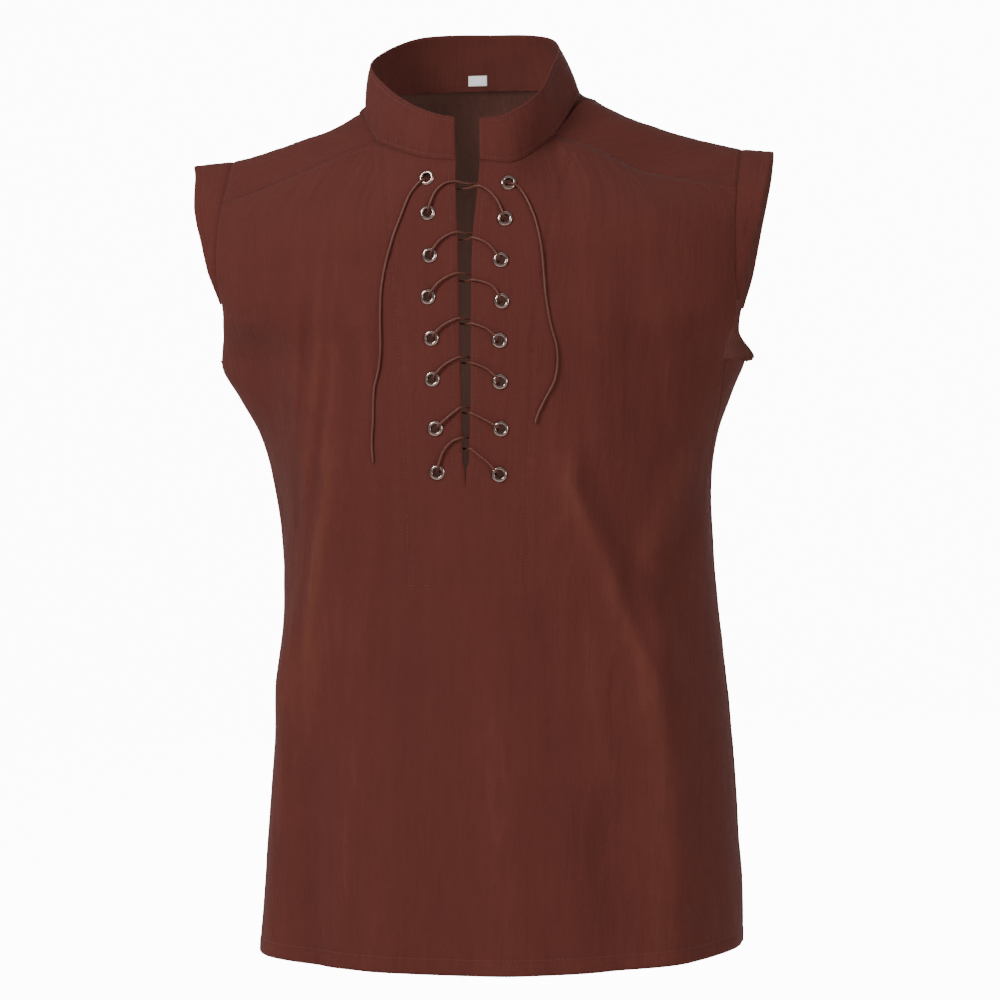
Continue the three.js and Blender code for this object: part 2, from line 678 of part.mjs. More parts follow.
const overFlange = (eyelet, target) => [
  [...toward(eyelet, target, 3.2), 2.05],
  [...toward(eyelet, target, 4.8), 2.5],
  [...toward(eyelet, target, 7.2), 2.2],
];

// One strand over its own front, down through the slit and on beneath the other front.
function strand(side, pair) {
  const eyelet = eyeletAt(side, pair);
  const { slit, bend } = crossing(side, pair);
  const half = slitHalf(slit[1]) + 0.5;
  const edge = [slit[0] + sign(side) * half, slit[1]];
  const far = [slit[0] - sign(side) * half, slit[1] + 0.8];
  const start = toward(eyelet, bend, 7.2);
  return [
    [...bezier(start, bend, edge, 0.4), 1.7],
    [...bezier(start, bend, edge, 0.75), 1.5],
    [...edge, 1.5],
    [...slit, -0.75],
    [...far, -3],
  ];
}

function laceHalf(firstSide) {
  const bar = mixPoint(eyeletAt("left", 8), eyeletAt("right", 8), 0.5);
  let side = firstSide;
  let origin = bar;
  const path = [[bar[0] + sign(side) * 0.2, bar[1], -3.1]];
  for (let pair = 8; pair >= 2; pair -= 1) {
    path.push(...throughEyelet(side, pair, origin, crossing(side, pair).bend), ...strand(side, pair));
    origin = path[path.length - 1].slice(0, 2);
    side = otherSide(side);
    path.push([...mixPoint(origin, eyeletAt(side, pair - 1), 0.4), LACE_UNDER_CLOTH]);
  }
  const eyelet = eyeletAt(side, 1);
  path.push(...underEyelet(eyelet, origin));
  path.push([...toward(eyelet, TAIL_LINES[side][0], 0.6), -1.7]);
  path.push([...toward(eyelet, TAIL_LINES[side][0], 1.7), -0.7]);
  return path.map(onFront);
}

function laceTail(side) {
  const eyelet = eyeletAt(side, 1);
  const line = TAIL_LINES[side];
  const curve = line.map(([x, z]) => [x, z, 0]);
  const steps = 26;
  const path = [[...toward(eyelet, line[0], 2.0), 0.35], [...toward(eyelet, line[0], 2.3), 1.1]];
  path.push(...overFlange(eyelet, line[0]));
  for (let i = 1; i <= steps; i += 1) {
    const [x, z] = curveAt(curve, i / steps);
    path.push([x, z, LACE_ON_CLOTH]);
  }
  return path.map(onFront);
}

function material(color, roughness, metalness = 0) {
  return new THREE.MeshStandardMaterial({ color, roughness, metalness });
}

const group = new THREE.Group();

function addPart(name, geometry, look) {
  const mesh = new THREE.Mesh(geometry, look);
  mesh.name = name;
  group.add(mesh);
}

const cloth = () => material(0x62302a, 0.85);
addPart("front", frontGeometry(), cloth());
addPart("back", panelGeometry(backPanel, BACK_COLUMNS, 7), cloth());
addPart("collar", collarGeometry(), cloth());
addPart("cap_left", capGeometry("left"), cloth());
addPart("cap_right", capGeometry("right"), cloth());
addPart("size_label", labelGeometry(), material(0xe8e6e2, 0.7));
eyeletPlaces.forEach((place) => addPart(place.name, eyeletGeometry(place), material(0xb9aeb0, 0.3, 1)));
const laceLook = () => material(0x6b3a28, 0.75);
addPart("lace_half_1", cordGeometry(laceHalf("right")), laceLook());
addPart("lace_half_2", cordGeometry(laceHalf("left")), laceLook());
addPart("lace_tail_left", cordGeometry(laceTail("left")), laceLook());
addPart("lace_tail_right", cordGeometry(laceTail("right")), laceLook());

export default group;
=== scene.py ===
"""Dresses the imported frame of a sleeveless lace-up tunic of light crinkled cloth."""

import logging
import math
from dataclasses import dataclass, field
from enum import Enum

import bpy
import numpy as np
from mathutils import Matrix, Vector


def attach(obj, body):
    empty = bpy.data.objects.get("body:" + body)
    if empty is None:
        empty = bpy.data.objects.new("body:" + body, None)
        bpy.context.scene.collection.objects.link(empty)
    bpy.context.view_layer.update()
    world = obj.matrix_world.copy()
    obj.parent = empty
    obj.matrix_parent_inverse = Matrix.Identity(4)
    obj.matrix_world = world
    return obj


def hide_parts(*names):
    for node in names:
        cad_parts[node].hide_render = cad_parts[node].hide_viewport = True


LOG = logging.getLogger("tunic")
MM = 0.001
Array = np.ndarray
Colour = tuple[float, float, float, float]
Triple = tuple[float, float, float]
Laid = tuple[Array, Array]
Socket = bpy.types.NodeSocket

CLOTH_THICKNESS = 1.0
SLIT_END = -321.0
SLIT_AT = 379.0
SLIT_SPREAD = 60.0
SLIT_CENTRE = 1.2
SLIT_TOP_CENTRE = -1.5
SLIT_LEAN_FROM = -250.0
SLIT_LEAN_HEIGHT = 190.0
SLIT_OPEN_DEPTH = 40.0
NECK_FRONT_INDEX = 4
NECK_LAST_INDEX = 10
ARMHOLE_FROM = 500.0
CAP_LOWEST = -172.0
FOLD_STRETCH = 0.45
FOLD_FADE = 0.14
NOISE_CELLS = 256
# Strengths of the painted shade and painted highlight that follow the cloth's relief.
RELIEF_SHADE_PAINT = 0.42
CREASE_SHADE_PAINT = 0.22
FOLD_SHADE_PAINT = 0.025
RIM_BULGE = 0.28
CLOTH_SHARP = 62.0
ARMHOLE_STITCH = 0.985
ARMHOLE_STITCH_FROM = 486.0
SLIT_STITCH = 0.018
EYELET_HOLE = 4.4
LACE_RADIUS = 0.9


class Side(Enum):
    """The two halves of the garment, as the picture shows them."""

    LEFT = "left"
    RIGHT = "right"

    @property
    def sign(self) -> int:
        """The sign of x on this side."""
        return -1 if self is Side.LEFT else 1

    @property
    def other(self) -> "Side":
        """The opposite side."""
        return Side.RIGHT if self is Side.LEFT else Side.LEFT


class Face(Enum):
    """Which panel of the body a surface belongs to."""

    FRONT = "front"
    BACK = "back"


@dataclass(frozen=True)
class Ring:
    """One ring of the body below the armholes, in millimetres and degrees.

    It gives its place up the flat cloth, its height, how far it reaches on each of four sides, the exponent
    of its outline, and for each side seam its angle and how far it is lifted.
    """

    at: float
    z: float
    left: float
    right: float
    front: float
    back: float
    power: float
    seam_left: float
    seam_right: float
    lift_left: float
    lift_right: float


@dataclass(frozen=True)
class ArmholeRow:
    """A row beside an armhole: its centre point, the armhole edge of each side, and how it bends."""

    at: float
    z: float
    depth: float
    left: Triple
    right: Triple
    power: float
    turn: float


@dataclass(frozen=True)
class EyeletPair:
    """Two eyelets as x and z, the heights at which their strands meet the slit, and their strands' bends.

    A bend is given by its shares of the way across and up from the eyelet to the slit.
    """

    left: tuple[float, float]
    right: tuple[float, float]
    slit_left: float = 0
    slit_right: float = 0
    bend_left: tuple[float, float] = (0, 0)
    bend_right: tuple[float, float] = (0, 0)


@dataclass(frozen=True)
class Fold:
    """A soft fold along a line on a panel, with its half width and height."""

    x1: float
    z1: float
    x2: float
    z2: float
    width: float
    height: float


RINGS = [
    Ring(0, -700, -184.8, 207.5, 135, 134, 2.4, 90, 90, 5, 12),
    Ring(39, -661, -182, 207.5, 133.5, 133, 2.4, 90, 90, 3, 8),
    Ring(105, -595, -178, 204, 131, 130, 2.4, 90, 90, 0, 0),
    Ring(171, -529, -173, 199.6, 128.5, 127, 2.4, 90, 90, 0, 0),
    Ring(237, -463, -169, 193.2, 126, 125, 2.4, 90, 90, 0, 0),
    Ring(287, -413, -167.5, 187.2, 124.5, 123, 2.4, 90, 90, 0, 0),
    Ring(337, -363, -171.8, 183.4, 123, 121, 2.4, 90, 90, 0, 0),
    Ring(379, -321, -178.6, 181.8, 122.3, 120, 2.35, 90, 89, 0, 0),
    Ring(403, -297, -183.7, 183.6, 122, 119.5, 2.3, 90, 86, 0, 0),
    Ring(430, -270, -190, 189, 121.5, 119, 2.2, 88, 82, 0, 0),
    Ring(455, -245, -198, 198, 121, 118.5, 2.1, 86, 77, 0, 0),
    Ring(476, -226, -204, 209.5, 120.5, 118, 2, 84, 70, 8, 8),
]
FRONT_ARMHOLE = [
    ArmholeRow(514, -186, 119.5, (-213, -46, -184), (208.5, -55, -184), 2.1, 76),
    ArmholeRow(554, -146, 116.5, (-214.5, -62, -150), (207.5, -64, -150), 2.1, 66),
    ArmholeRow(594, -104, 109.5, (-215, -58, -114), (207.5, -58, -112), 2.1, 58),
]
FRONT_TOP_AT = 636.0
BACK_ARMHOLE = [
    ArmholeRow(485, -219, 118, (-206, 2, -215.5), (212.5, 2, -217), 2, 90),
    ArmholeRow(514, -186, 117.5, (-216, 47, -190), (202, 47, -191), 2.1, 76),
    ArmholeRow(560, -140, 115, (-215, 65, -145), (207.5, 65, -145), 2.1, 66),
    ArmholeRow(608, -90, 108, (-215, 52, -98), (207.5, 52, -98), 2.1, 58),
    ArmholeRow(655, -38, 97, (-215, 26, -63), (207.5, 26, -62), 2.1, 52),
]
BACK_RIDGE_AT = 688.0
BACK_TOP_AT = 730.0
NECK_BASE = {
    Side.LEFT: [(-1, -98.5, -61), (-28, -97, -59), (-50, -88, -54), (-70, -71, -47), (-85, -52, -39),
                (-98, -27, -19), (-101.5, 0, -3), (-92, 32, 7), (-70, 56, 11.5), (-40, 71, 14), (-8, 76, 15)],
    Side.RIGHT: [(-1, -98.5, -61), (27, -96, -63.5), (42, -86, -57), (53, -71, -47), (62, -55, -37.5),
                 (71, -28, -18), (75, 0, 0), (69, 32, 8), (55, 56, 12), (26, 71, 14), (-8, 76, 15)],
}
COLLAR_TOP = {
    Side.LEFT: [(-2.5, -93, -27), (-22, -91.5, -23.5), (-43, -85, -16.5), (-62, -69, -7), (-77, -49, 4.5),
                (-94, -22, 21), (-97.5, 2, 33), (-87, 31, 47), (-67, 53, 57.5), (-39, 66, 61), (-8, 70, 61)],
    Side.RIGHT: [(-2.5, -93, -28), (19, -91, -26), (34, -84, -18.5), (47, -73, -9), (55, -58, 3),
                 (57, -30, 20.5), (58, 0, 35), (53, 30, 47), (42, 52, 55.5), (20, 66, 60), (-8, 70, 61)],
}
SHOULDER_SEAM = {
    Side.LEFT: [(-85, -52, -39), (-118, -50, -51), (-151, -48, -64.5), (-183, -46, -77), (-214.5, -45, -88)],
    Side.RIGHT: [(62, -55, -37.5), (98, -50, -49.5), (130, -49, -66), (167, -47, -73.5), (207.5, -44, -80)],
}
NECK_BAND = {
    Side.LEFT: [(-3, 89, -8), (-31, 87, -8.5), (-60, 77, -8), (-86, 58, -8), (-103, 33, -9.5),
                (-108.5, 15, -11.5), (-109, 4, -12.5)],
    Side.RIGHT: [(-3, 89, -8), (24, 87, -8.5), (48, 77, -8), (70, 58, -8), (84, 33, -6),
                 (88, 15, -4.5), (87, 4, -4)],
}
SHOULDER_LINE = {
    Side.LEFT: [(-109, 4, -12.5), (-132, 3, -24), (-160, 1, -33.5), (-190, 0, -43), (-215, 0, -49)],
    Side.RIGHT: [(87, 4, -4), (112, 3, -17), (145, 1, -29.5), (178, 0, -39), (207.5, 0, -46)],
}
SLIT_ROWS = [(SLIT_END, 0), (-306, 0.9), (-300, 3.0), (-252, 4.0), (-173, 5.1), (-123, 6), (-82, 9.3),
             (-61, 9.9), (-27, 10.5)]
FRONT_FOLDS = [
    Fold(-106, -318, -146, -480, 17, 6),
    Fold(-146, -480, -163, -700, 17, 6.5),
    Fold(-172, -250, -168, -330, 20, -8),
    Fold(-128, -560, -124, -700, 13, -4),
    Fold(-55, -372, -60, -452, 36, -4.5),
    Fold(82, -318, 146, -446, 18, 5),
    Fold(146, -446, 163, -690, 20, 7),
    Fold(112, -600, 120, -700, 15, -4),
    Fold(40, -560, 36, -700, 22, 3.5),
    Fold(-60, -600, -66, -700, 18, 3),
]
BACK_FOLDS = [
    Fold(-148, -380, -160, -700, 20, 5.5),
    Fold(-92, -300, -104, -700, 24, -4.5),
    Fold(-30, -250, -36, -700, 26, 4),
    Fold(48, -300, 56, -700, 26, -4),
    Fold(104, -260, 124, -700, 22, 5),
    Fold(160, -380, 172, -700, 18, -5),
    Fold(0, -120, 0, -190, 60, 2.5),
]
FRONT_CREASES = [
    Fold(-116, -134, -126, -250, 4.5, 0.8),
    Fold(-122, -215, -134, -318, 4.5, 1.1),
    Fold(-104, -150, -112, -230, 4, 0.7),
    Fold(-106, -214, -116, -300, 4, 1),
    Fold(-139, -197, -147, -283, 5, 1),
    Fold(-130, -173, -141, -262, 4, -0.9),
    Fold(-114, -222, -124, -318, 3.5, -0.8),
    Fold(-91, -205, -95, -306, 5, -0.8),
    Fold(-151, -252, -143, -346, 6, -1.5),
    Fold(-109, -300, -124, -400, 5, 1.1),
    Fold(-118, -352, -131, -452, 4.5, 1),
    Fold(-126, -330, -139, -430, 5, -1.1),
    Fold(-122, -455, -136, -540, 6, 0.8),
    Fold(-146, -520, -156, -630, 6, -0.9),
    Fold(-72, -330, -86, -440, 7, 0.9),
    Fold(-36, -410, -44, -520, 9, -0.8),
    Fold(-18, -350, -28, -400, 8, 0.7),
    Fold(84, -318, 112, -392, 7, 1.2),
    Fold(98, -318, 138, -402, 9, -1.6),
    Fold(118, -408, 146, -470, 7, 1),
    Fold(128, -398, 160, -480, 9, -1.6),
    Fold(150, -480, 158, -560, 7, 1),
    Fold(166, -300, 140, -372, 9, 1.6),
    Fold(176, -330, 152, -410, 7, -1.1),
    Fold(96, -440, 108, -540, 9, 0.7),
    Fold(60, -420, 74, -520, 9, -0.8),
    Fold(20, -480, 26, -580, 10, 0.6),
    Fold(-92, -540, -98, -640, 9, 0.7),
    Fold(96, -170, 104, -300, 8, 0.7),
    Fold(122, -150, 132, -270, 7, -0.7),
    Fold(150, -180, 158, -270, 7, 0.7),
]
BACK_CREASES = [
    Fold(-118, -150, -126, -290, 6, 1.3),
    Fold(-134, -200, -142, -330, 6, -1.3),
    Fold(-70, -120, -78, -260, 8, 1),
    Fold(-58, -380, -70, -540, 8, -1.3),
    Fold(14, -330, 20, -480, 9, 1.2),
    Fold(86, -180, 96, -330, 7, 1.3),
    Fold(128, -240, 140, -380, 7, -1.4),
    Fold(78, -440, 92, -600, 8, 1.4),
    Fold(150, -430, 158, -560, 7, 1.2),
    Fold(-120, -470, -128, -620, 8, 1.2),
]
FACING_LINE = {
    Side.LEFT: ((-78, -45), (-68.5, -82), (-64, -104), (-60, -129), (-57.5, -165), (-54, -191), (-52.5, -239),
                (-46.5, -338), (-45, -397)),
    Side.RIGHT: ((76, -44), (75, -66), (71, -90), (65.5, -116), (59.5, -163), (54, -197), (52.4, -241),
                 (50, -305), (48.5, -397)),
}
FACING_END = ((-45, -397), (48.5, -397))
EYELET_RINGS = ((3.6, -2.7), (3.6, 0.85), (3.72, 1.2), (4.05, 1.48), (4.6, 1.6), (5.2, 1.46), (5.75, 1.1),
                (6.1, 0.66), (6.2, 0.36), (6.05, 0.18), (4.4, 0.18), (4.3, -1.65), (5.1, -1.65),
                (5.45, -1.95), (5.3, -2.35), (4.5, -2.6), (3.9, -2.8))
EYELET_PAIRS = [
    EyeletPair((-33.4, -75.5), (32, -80.3)),
    EyeletPair((-31.2, -103.9), (30.6, -109.2), -79.1, -83, (0.22, 1), (0.3, 0.87)),
    EyeletPair((-28.6, -137.8), (28.1, -142), -119.6, -124.4, (0.33, 0.85), (0.36, 0.85)),
    EyeletPair((-29.4, -170.6), (29.3, -174.4), -152.2, -157.7, (0.36, 0.82), (0.24, 0.9)),
    EyeletPair((-26.5, -203.2), (27.8, -205.3), -187.6, -191.9, (0.34, 0.72), (0.37, 0.79)),
    EyeletPair((-25.6, -235.2), (28.3, -237.6), -218.1, -222.8, (0.36, 0.73), (0.37, 0.78)),
    EyeletPair((-23, -274), (29, -274.5), -257.6, -262, (0.45, 0.58), (0.48, 0.64)),
    EyeletPair((-21.5, -308.4), (27.9, -310.1), -281.5, -290, (0.26, 0.9), (0.43, 0.62)),
]
TAIL_LINES = {
    Side.LEFT: [(-41, -81.5), (-46.7, -89.7), (-52.9, -106.9), (-57.9, -121.6), (-63.5, -142.2),
                (-67.1, -164.3), (-67.8, -188.1), (-67.7, -211), (-69.8, -229.1), (-73, -243.2),
                (-73.7, -266.9), (-74.7, -284.3), (-73.7, -300.4)],
    Side.RIGHT: [(39.5, -84.3), (44.5, -90.3), (51.1, -102.4), (55.3, -112.8), (59.1, -127.9),
                 (61.4, -146.9), (64, -172.8), (68, -194.8), (71.6, -208.1), (72.5, -222.1), (70.1, -237),
                 (64.4, -248.8), (58.3, -261.3), (55.7, -269.9)],
}
CAP_WIDTHS = {Side.LEFT: 27.5, Side.RIGHT: 23.5}
CAP_TAPERS = {Side.LEFT: (1.1, 1.3), Side.RIGHT: (0.85, 1.7)}
CAP_PEAKS = {Side.LEFT: 4.0, Side.RIGHT: 0.0}
CAP_SLOPE = 0.4
PULL_AT = (380, 405, 430, 455, 476, 485, 500, 514, 560, 740)
PULL_OUT = {Face.FRONT: (0, 0, 3, 10, 19, 15, 6, 0, 0, 0), Face.BACK: (0, 0, 3, 10, 19, 20, 11, 0, 0, 0)}
PULL_REACH = 0.17


def unit(vectors: Array) -> Array:
    """Returns the vectors scaled to length one along the last axis."""
    return vectors / np.maximum(np.linalg.norm(vectors, axis=-1, keepdims=True), 1e-12)


def signed_power(value: Array, exponent: float) -> Array:
    """Returns a power that keeps the sign of its base."""
    return np.sign(value) * np.abs(value) ** exponent


def smooth_step(value: Array, low: float, high: float) -> Array:
    """Returns a soft step from 0 at low to 1 at high."""
    t = np.clip((value - low) / (high - low), 0, 1)
    return t * t * (3 - 2 * t)


def ridge(away: Array, width: float) -> Array:
    """Returns the height of a rounded ridge of height one at distances from its line."""
    return np.exp(-((away / width) ** 2))


def spline_grid(knots: Array, rows: Array, at: Array, hold: Array | None = None, held: int = -1) -> Array:
    """Runs a smooth curve through each column of a stack of rows.

    Args:
        knots: Rising positions of the rows.
        rows: The rows, of shape (rows, columns, 3).
        at: Positions to evaluate.
        hold: For each column, how far the slope at the held row leans to the one of the span below.
        held: The number of the held row.

    Returns:
        The points, of shape (columns, positions, 3).
    """
    rate = (rows[1:] - rows[:-1]) / np.diff(knots)[:, None, None]
    slopes = np.empty_like(rows)
    slopes[0], slopes[-1] = rate[0], rate[-1]
    share = ((knots[1:-1] - knots[:-2]) / (knots[2:] - knots[:-2]))[:, None, None]
    slopes[1:-1] = rate[:-1] + (rate[1:] - rate[:-1]) * share
    if hold is not None:
        slopes[held] += (rate[held - 1] - slopes[held]) * hold[:, None]
    i = np.clip(np.searchsorted(knots, at, side="left") - 1, 0, len(knots) - 2)
    span = np.diff(knots)[i][:, None, None]
    s = ((at - knots[i]) / np.diff(knots)[i])[:, None, None]
    s2, s3 = s * s, s * s * s
    points = ((2 * s3 - 3 * s2 + 1) * rows[i] + (s3 - 2 * s2 + s) * span * slopes[i]
              + (3 * s2 - 2 * s3) * rows[i + 1] + (s3 - s2) * span * slopes[i + 1])
    return points.transpose(1, 0, 2)


def curve_at(points: list[tuple[float, ...]], share: Array) -> Array:
    """Returns places on the smooth curve through some points, which counts each span as equally long.

    Args:
        points: The points, in order.
        share: Shares of the way along, from 0 to 1.

    Returns:
        One place for each share.
    """
    stack = np.array(points, float)[:, None, :]
    knots = np.arange(len(points), dtype=float)
    return spline_grid(knots, stack, np.asarray(share, float) * (len(points) - 1))[0]


def slit_half(z: Array) -> Array:
    """Returns half the width of the slit at a height."""
    return np.interp(z, [row[0] for row in SLIT_ROWS], [row[1] for row in SLIT_ROWS])


def slit_centre(z: Array) -> Array:
    """Returns the x of the middle of the slit at a height."""
    share = np.clip((np.asarray(z) - SLIT_LEAN_FROM) / SLIT_LEAN_HEIGHT, 0, 1)
    return SLIT_CENTRE + (SLIT_TOP_CENTRE - SLIT_CENTRE) * share


def open_slit(points: Array, side: Side) -> Array:
    """Moves points near the centre front apart so that the slit stands open above its end.

    Args:
        points: Places on the front.
        side: The side of the garment.

    Returns:
        The moved places.
    """
    near = np.maximum(0, 1 - np.abs(points[..., 0] - slit_centre(points[..., 2])) / SLIT_SPREAD)
    share = near * np.clip(-points[..., 1] / SLIT_OPEN_DEPTH, 0, 1)
    moved = points.copy()
    moved[..., 0] += side.sign * slit_half(points[..., 2]) * share
    return moved


def arc_row(centre_y: float, centre_z: float, edge: Triple, bend: float, turn: float,
            u: Array) -> Array:
    """Returns a row from the centre line to its edge point along part of a superellipse.

    Args:
        centre_y: Depth of the centre point.
        centre_z: Height of the centre point.
        edge: The point at the far end.
        bend: Exponent of the superellipse.
        turn: Degrees of the superellipse that the row takes up.
        u: Shares along the row.

    Returns:
        The points of the row.
    """
    end = math.radians(turn)
    exponent = 2 / bend
    out = signed_power(np.sin(u * end), exponent) / math.sin(end) ** exponent
    sweep = 1 - float(signed_power(np.array(math.cos(end)), exponent))
    bent = (1 - signed_power(np.cos(u * end), exponent)) / sweep
    centre_x = float(slit_centre(centre_z))
    return np.stack([
        centre_x + (edge[0] - centre_x) * out,
        centre_y + (edge[1] - centre_y) * bent,
        centre_z + (edge[2] - centre_z) * out * out,
    ], axis=-1)


def fold_height(folds: list[Fold], x: Array, z: Array) -> Array:
    """Returns the summed height of soft folds at places on a panel.

    Args:
        folds: The folds or creases.
        x: The x of each place.
        z: The z of each place.

    Returns:
        The height at each place, in millimetres.
    """
    total = np.zeros_like(x)
    for fold in folds:
        dx, dz = fold.x2 - fold.x1, fold.z2 - fold.z1
        t = np.clip(((x - fold.x1) * dx + (z - fold.z1) * dz) / (dx * dx + dz * dz), 0, 1)
        away = np.hypot(x - fold.x1 - dx * t, (z - fold.z1 - dz * t) * FOLD_STRETCH)
        total += fold.height * ridge(away, fold.width)
    return total


class Noise:
    """Smooth seeded noise on a plane, from a small table of random values."""

    def __init__(self, seed: int) -> None:
        """Fills the table from the seed."""
        self.values = np.random.default_rng(seed).uniform(-1, 1, (NOISE_CELLS, NOISE_CELLS))

    def at(self, x: Array, y: Array) -> Array:
        """Returns the noise, from -1 to 1, at places given in cells.

        Args:
            x: Places across, in cells.
            y: Places up, in cells.

        Returns:
            One value for each place.
        """
        ix, iy = np.floor(x).astype(int), np.floor(y).astype(int)
        fx, fy = x - ix, y - iy
        fx, fy = fx * fx * (3 - 2 * fx), fy * fy * (3 - 2 * fy)
        left, right = ix % NOISE_CELLS, (ix + 1) % NOISE_CELLS
        low, high = iy % NOISE_CELLS, (iy + 1) % NOISE_CELLS
        a, b = self.values[left, low], self.values[right, low]
        c, d = self.values[left, high], self.values[right, high]
        return (a * (1 - fx) + b * fx) * (1 - fy) + (c * (1 - fx) + d * fx) * fy


@dataclass
class PanelSurface:
    """The smooth surface of one body panel, from the same tables as its solid."""

    face: Face
    folds: list[Fold]
    neck_share: float
    knots: Array = field(init=False)
    top: float = field(init=False)

    def __post_init__(self) -> None:
        """Works out the positions of the rows."""
        rows = FRONT_ARMHOLE if self.face is Face.FRONT else BACK_ARMHOLE
        tops = [FRONT_TOP_AT] if self.face is Face.FRONT else [BACK_RIDGE_AT, BACK_TOP_AT]
        self.knots = np.array([ring.at for ring in RINGS] + [row.at for row in rows] + tops, float)
        self.top = float(self.knots[-1])

    def _ring(self, ring: Ring, side: Side, u: Array) -> Array:
        """Returns one ring of this panel on one side.

        Args:
            ring: The ring.
            side: The side of the garment.
            u: Shares of the way out from the centre line.

        Returns:
            The points of the ring.
        """
        left = side is Side.LEFT
        seam = ring.seam_left if left else ring.seam_right
        lift = ring.lift_left if left else ring.lift_right
        widest = ring.left if left else ring.right
        angle, exponent = math.radians(seam), 2 / ring.power
        cosine = max(0.0, math.cos(angle))
        edge = (widest * math.sin(angle) ** exponent, -ring.front * cosine ** exponent, ring.z + lift)
        if self.face is Face.FRONT:
            return arc_row(-ring.front, ring.z, edge, ring.power, seam, u)
        return arc_row(ring.back, ring.z, edge, ring.power, 180 - seam, u)

    def _top_rows(self, side: Side, u: Array) -> list[Array]:
        """Returns the rows that end at the neck and at the shoulder seam.

        Args:
            side: The side of the garment.
            u: Shares of the way out from the centre line.

        Returns:
            One row for the front; the row on the shoulder line and the last one for the back.
        """
        inner = np.clip(u / self.neck_share, 0, 1)
        outer = np.clip((u - self.neck_share) / (1 - self.neck_share), 0, 1)
        over_neck = (u <= self.neck_share)[:, None]
        front_part = NECK_FRONT_INDEX / NECK_LAST_INDEX
        if self.face is Face.FRONT:
            neck = curve_at(NECK_BASE[side], inner * front_part)
            return [np.where(over_neck, neck, curve_at(SHOULDER_SEAM[side], outer))]
        band = np.where(over_neck, curve_at(NECK_BAND[side], inner), curve_at(SHOULDER_LINE[side], outer))
        neck = curve_at(NECK_BASE[side], 1 - inner * (1 - front_part))
        return [band, np.where(over_neck, neck, curve_at(SHOULDER_SEAM[side], outer))]

    def plain(self, side: Side, u: Array, v: Array) -> Array:
        """Returns the surface without folds, as a grid of columns u by positions v.

        Args:
            side: The side of the garment.
            u: Shares of the way out from the centre line.
            v: Positions up the panel, in millimetres.

        Returns:
            The points.
        """
        rows = [self._ring(ring, side, u) for ring in RINGS]
        for row in FRONT_ARMHOLE if self.face is Face.FRONT else BACK_ARMHOLE:
            depth = -row.depth if self.face is Face.FRONT else row.depth
            edge = row.left if side is Side.LEFT else row.right
            rows.append(arc_row(depth, row.z, edge, row.power, row.turn, u))
        rows += self._top_rows(side, u)
        points = spline_grid(self.knots, np.array(rows), v, u ** 6, len(RINGS) - 1)
        if side is Side.LEFT:
            out = np.zeros((len(PULL_AT), 1, 3))
            out[:, 0, 0] = PULL_OUT[self.face]
            pull = spline_grid(np.array(PULL_AT, float), out, np.maximum(v, PULL_AT[0]))[0, :, 0]
            points[..., 0] -= ridge(1 - u, PULL_REACH)[:, None] * pull[None, :]
        return open_slit(points, side) if self.face is Face.FRONT else points

    def _side_normal(self, side: Side, u: Array, v: Array) -> Array:
        """Returns the directions out of the cloth as one side alone gives them.

        Args:
            side: The side of the garment.
            u: Shares of the way out from the centre line.
            v: Positions up the panel, in millimetres.

        Returns:
            One direction for each place.
        """
        du, dv = 0.004, 1.5
        u1, v1 = np.clip(u, du, 1 - du), np.clip(v, dv, self.top - dv)
        across = self.plain(side, u1 + du, v1) - self.plain(side, u1 - du, v1)
        up = self.plain(side, u1, v1 + dv) - self.plain(side, u1, v1 - dv)
        facing = side.sign * (1 if self.face is Face.FRONT else -1)
        return unit(np.cross(across, up) * facing)

    def normal(self, side: Side, u: Array, v: Array) -> Array:
        """Returns the directions out of the cloth, the same for both sides on the centre line.

        Args:
            side: The side of the garment.
            u: Shares of the way out from the centre line.
            v: Positions up the panel, in millimetres.

        Returns:
            One direction for each place.
        """
        normals = self._side_normal(side, u, v)
        centre = u <= 0
        if centre.any():
            other = self._side_normal(side.other, u[centre], v)
            normals[centre] = unit(normals[centre] + other)
        return normals

    def grid(self, side: Side, u: Array, v: Array) -> Laid:
        """Returns the points with their large folds, and the directions out of the cloth.

        Args:
            side: The side of the garment.
            u: Shares of the way out from the centre line.
            v: Positions up the panel, in millimetres.

        Returns:
            The points and the directions.
        """
        base = self.plain(side, u, v)
        normals = self.normal(side, u, v)
        fade = smooth_step(1 - u, 0, FOLD_FADE)[:, None]
        height = fold_height(self.folds, base[..., 0], base[..., 2]) * fade
        return base + normals * height[..., None], normals


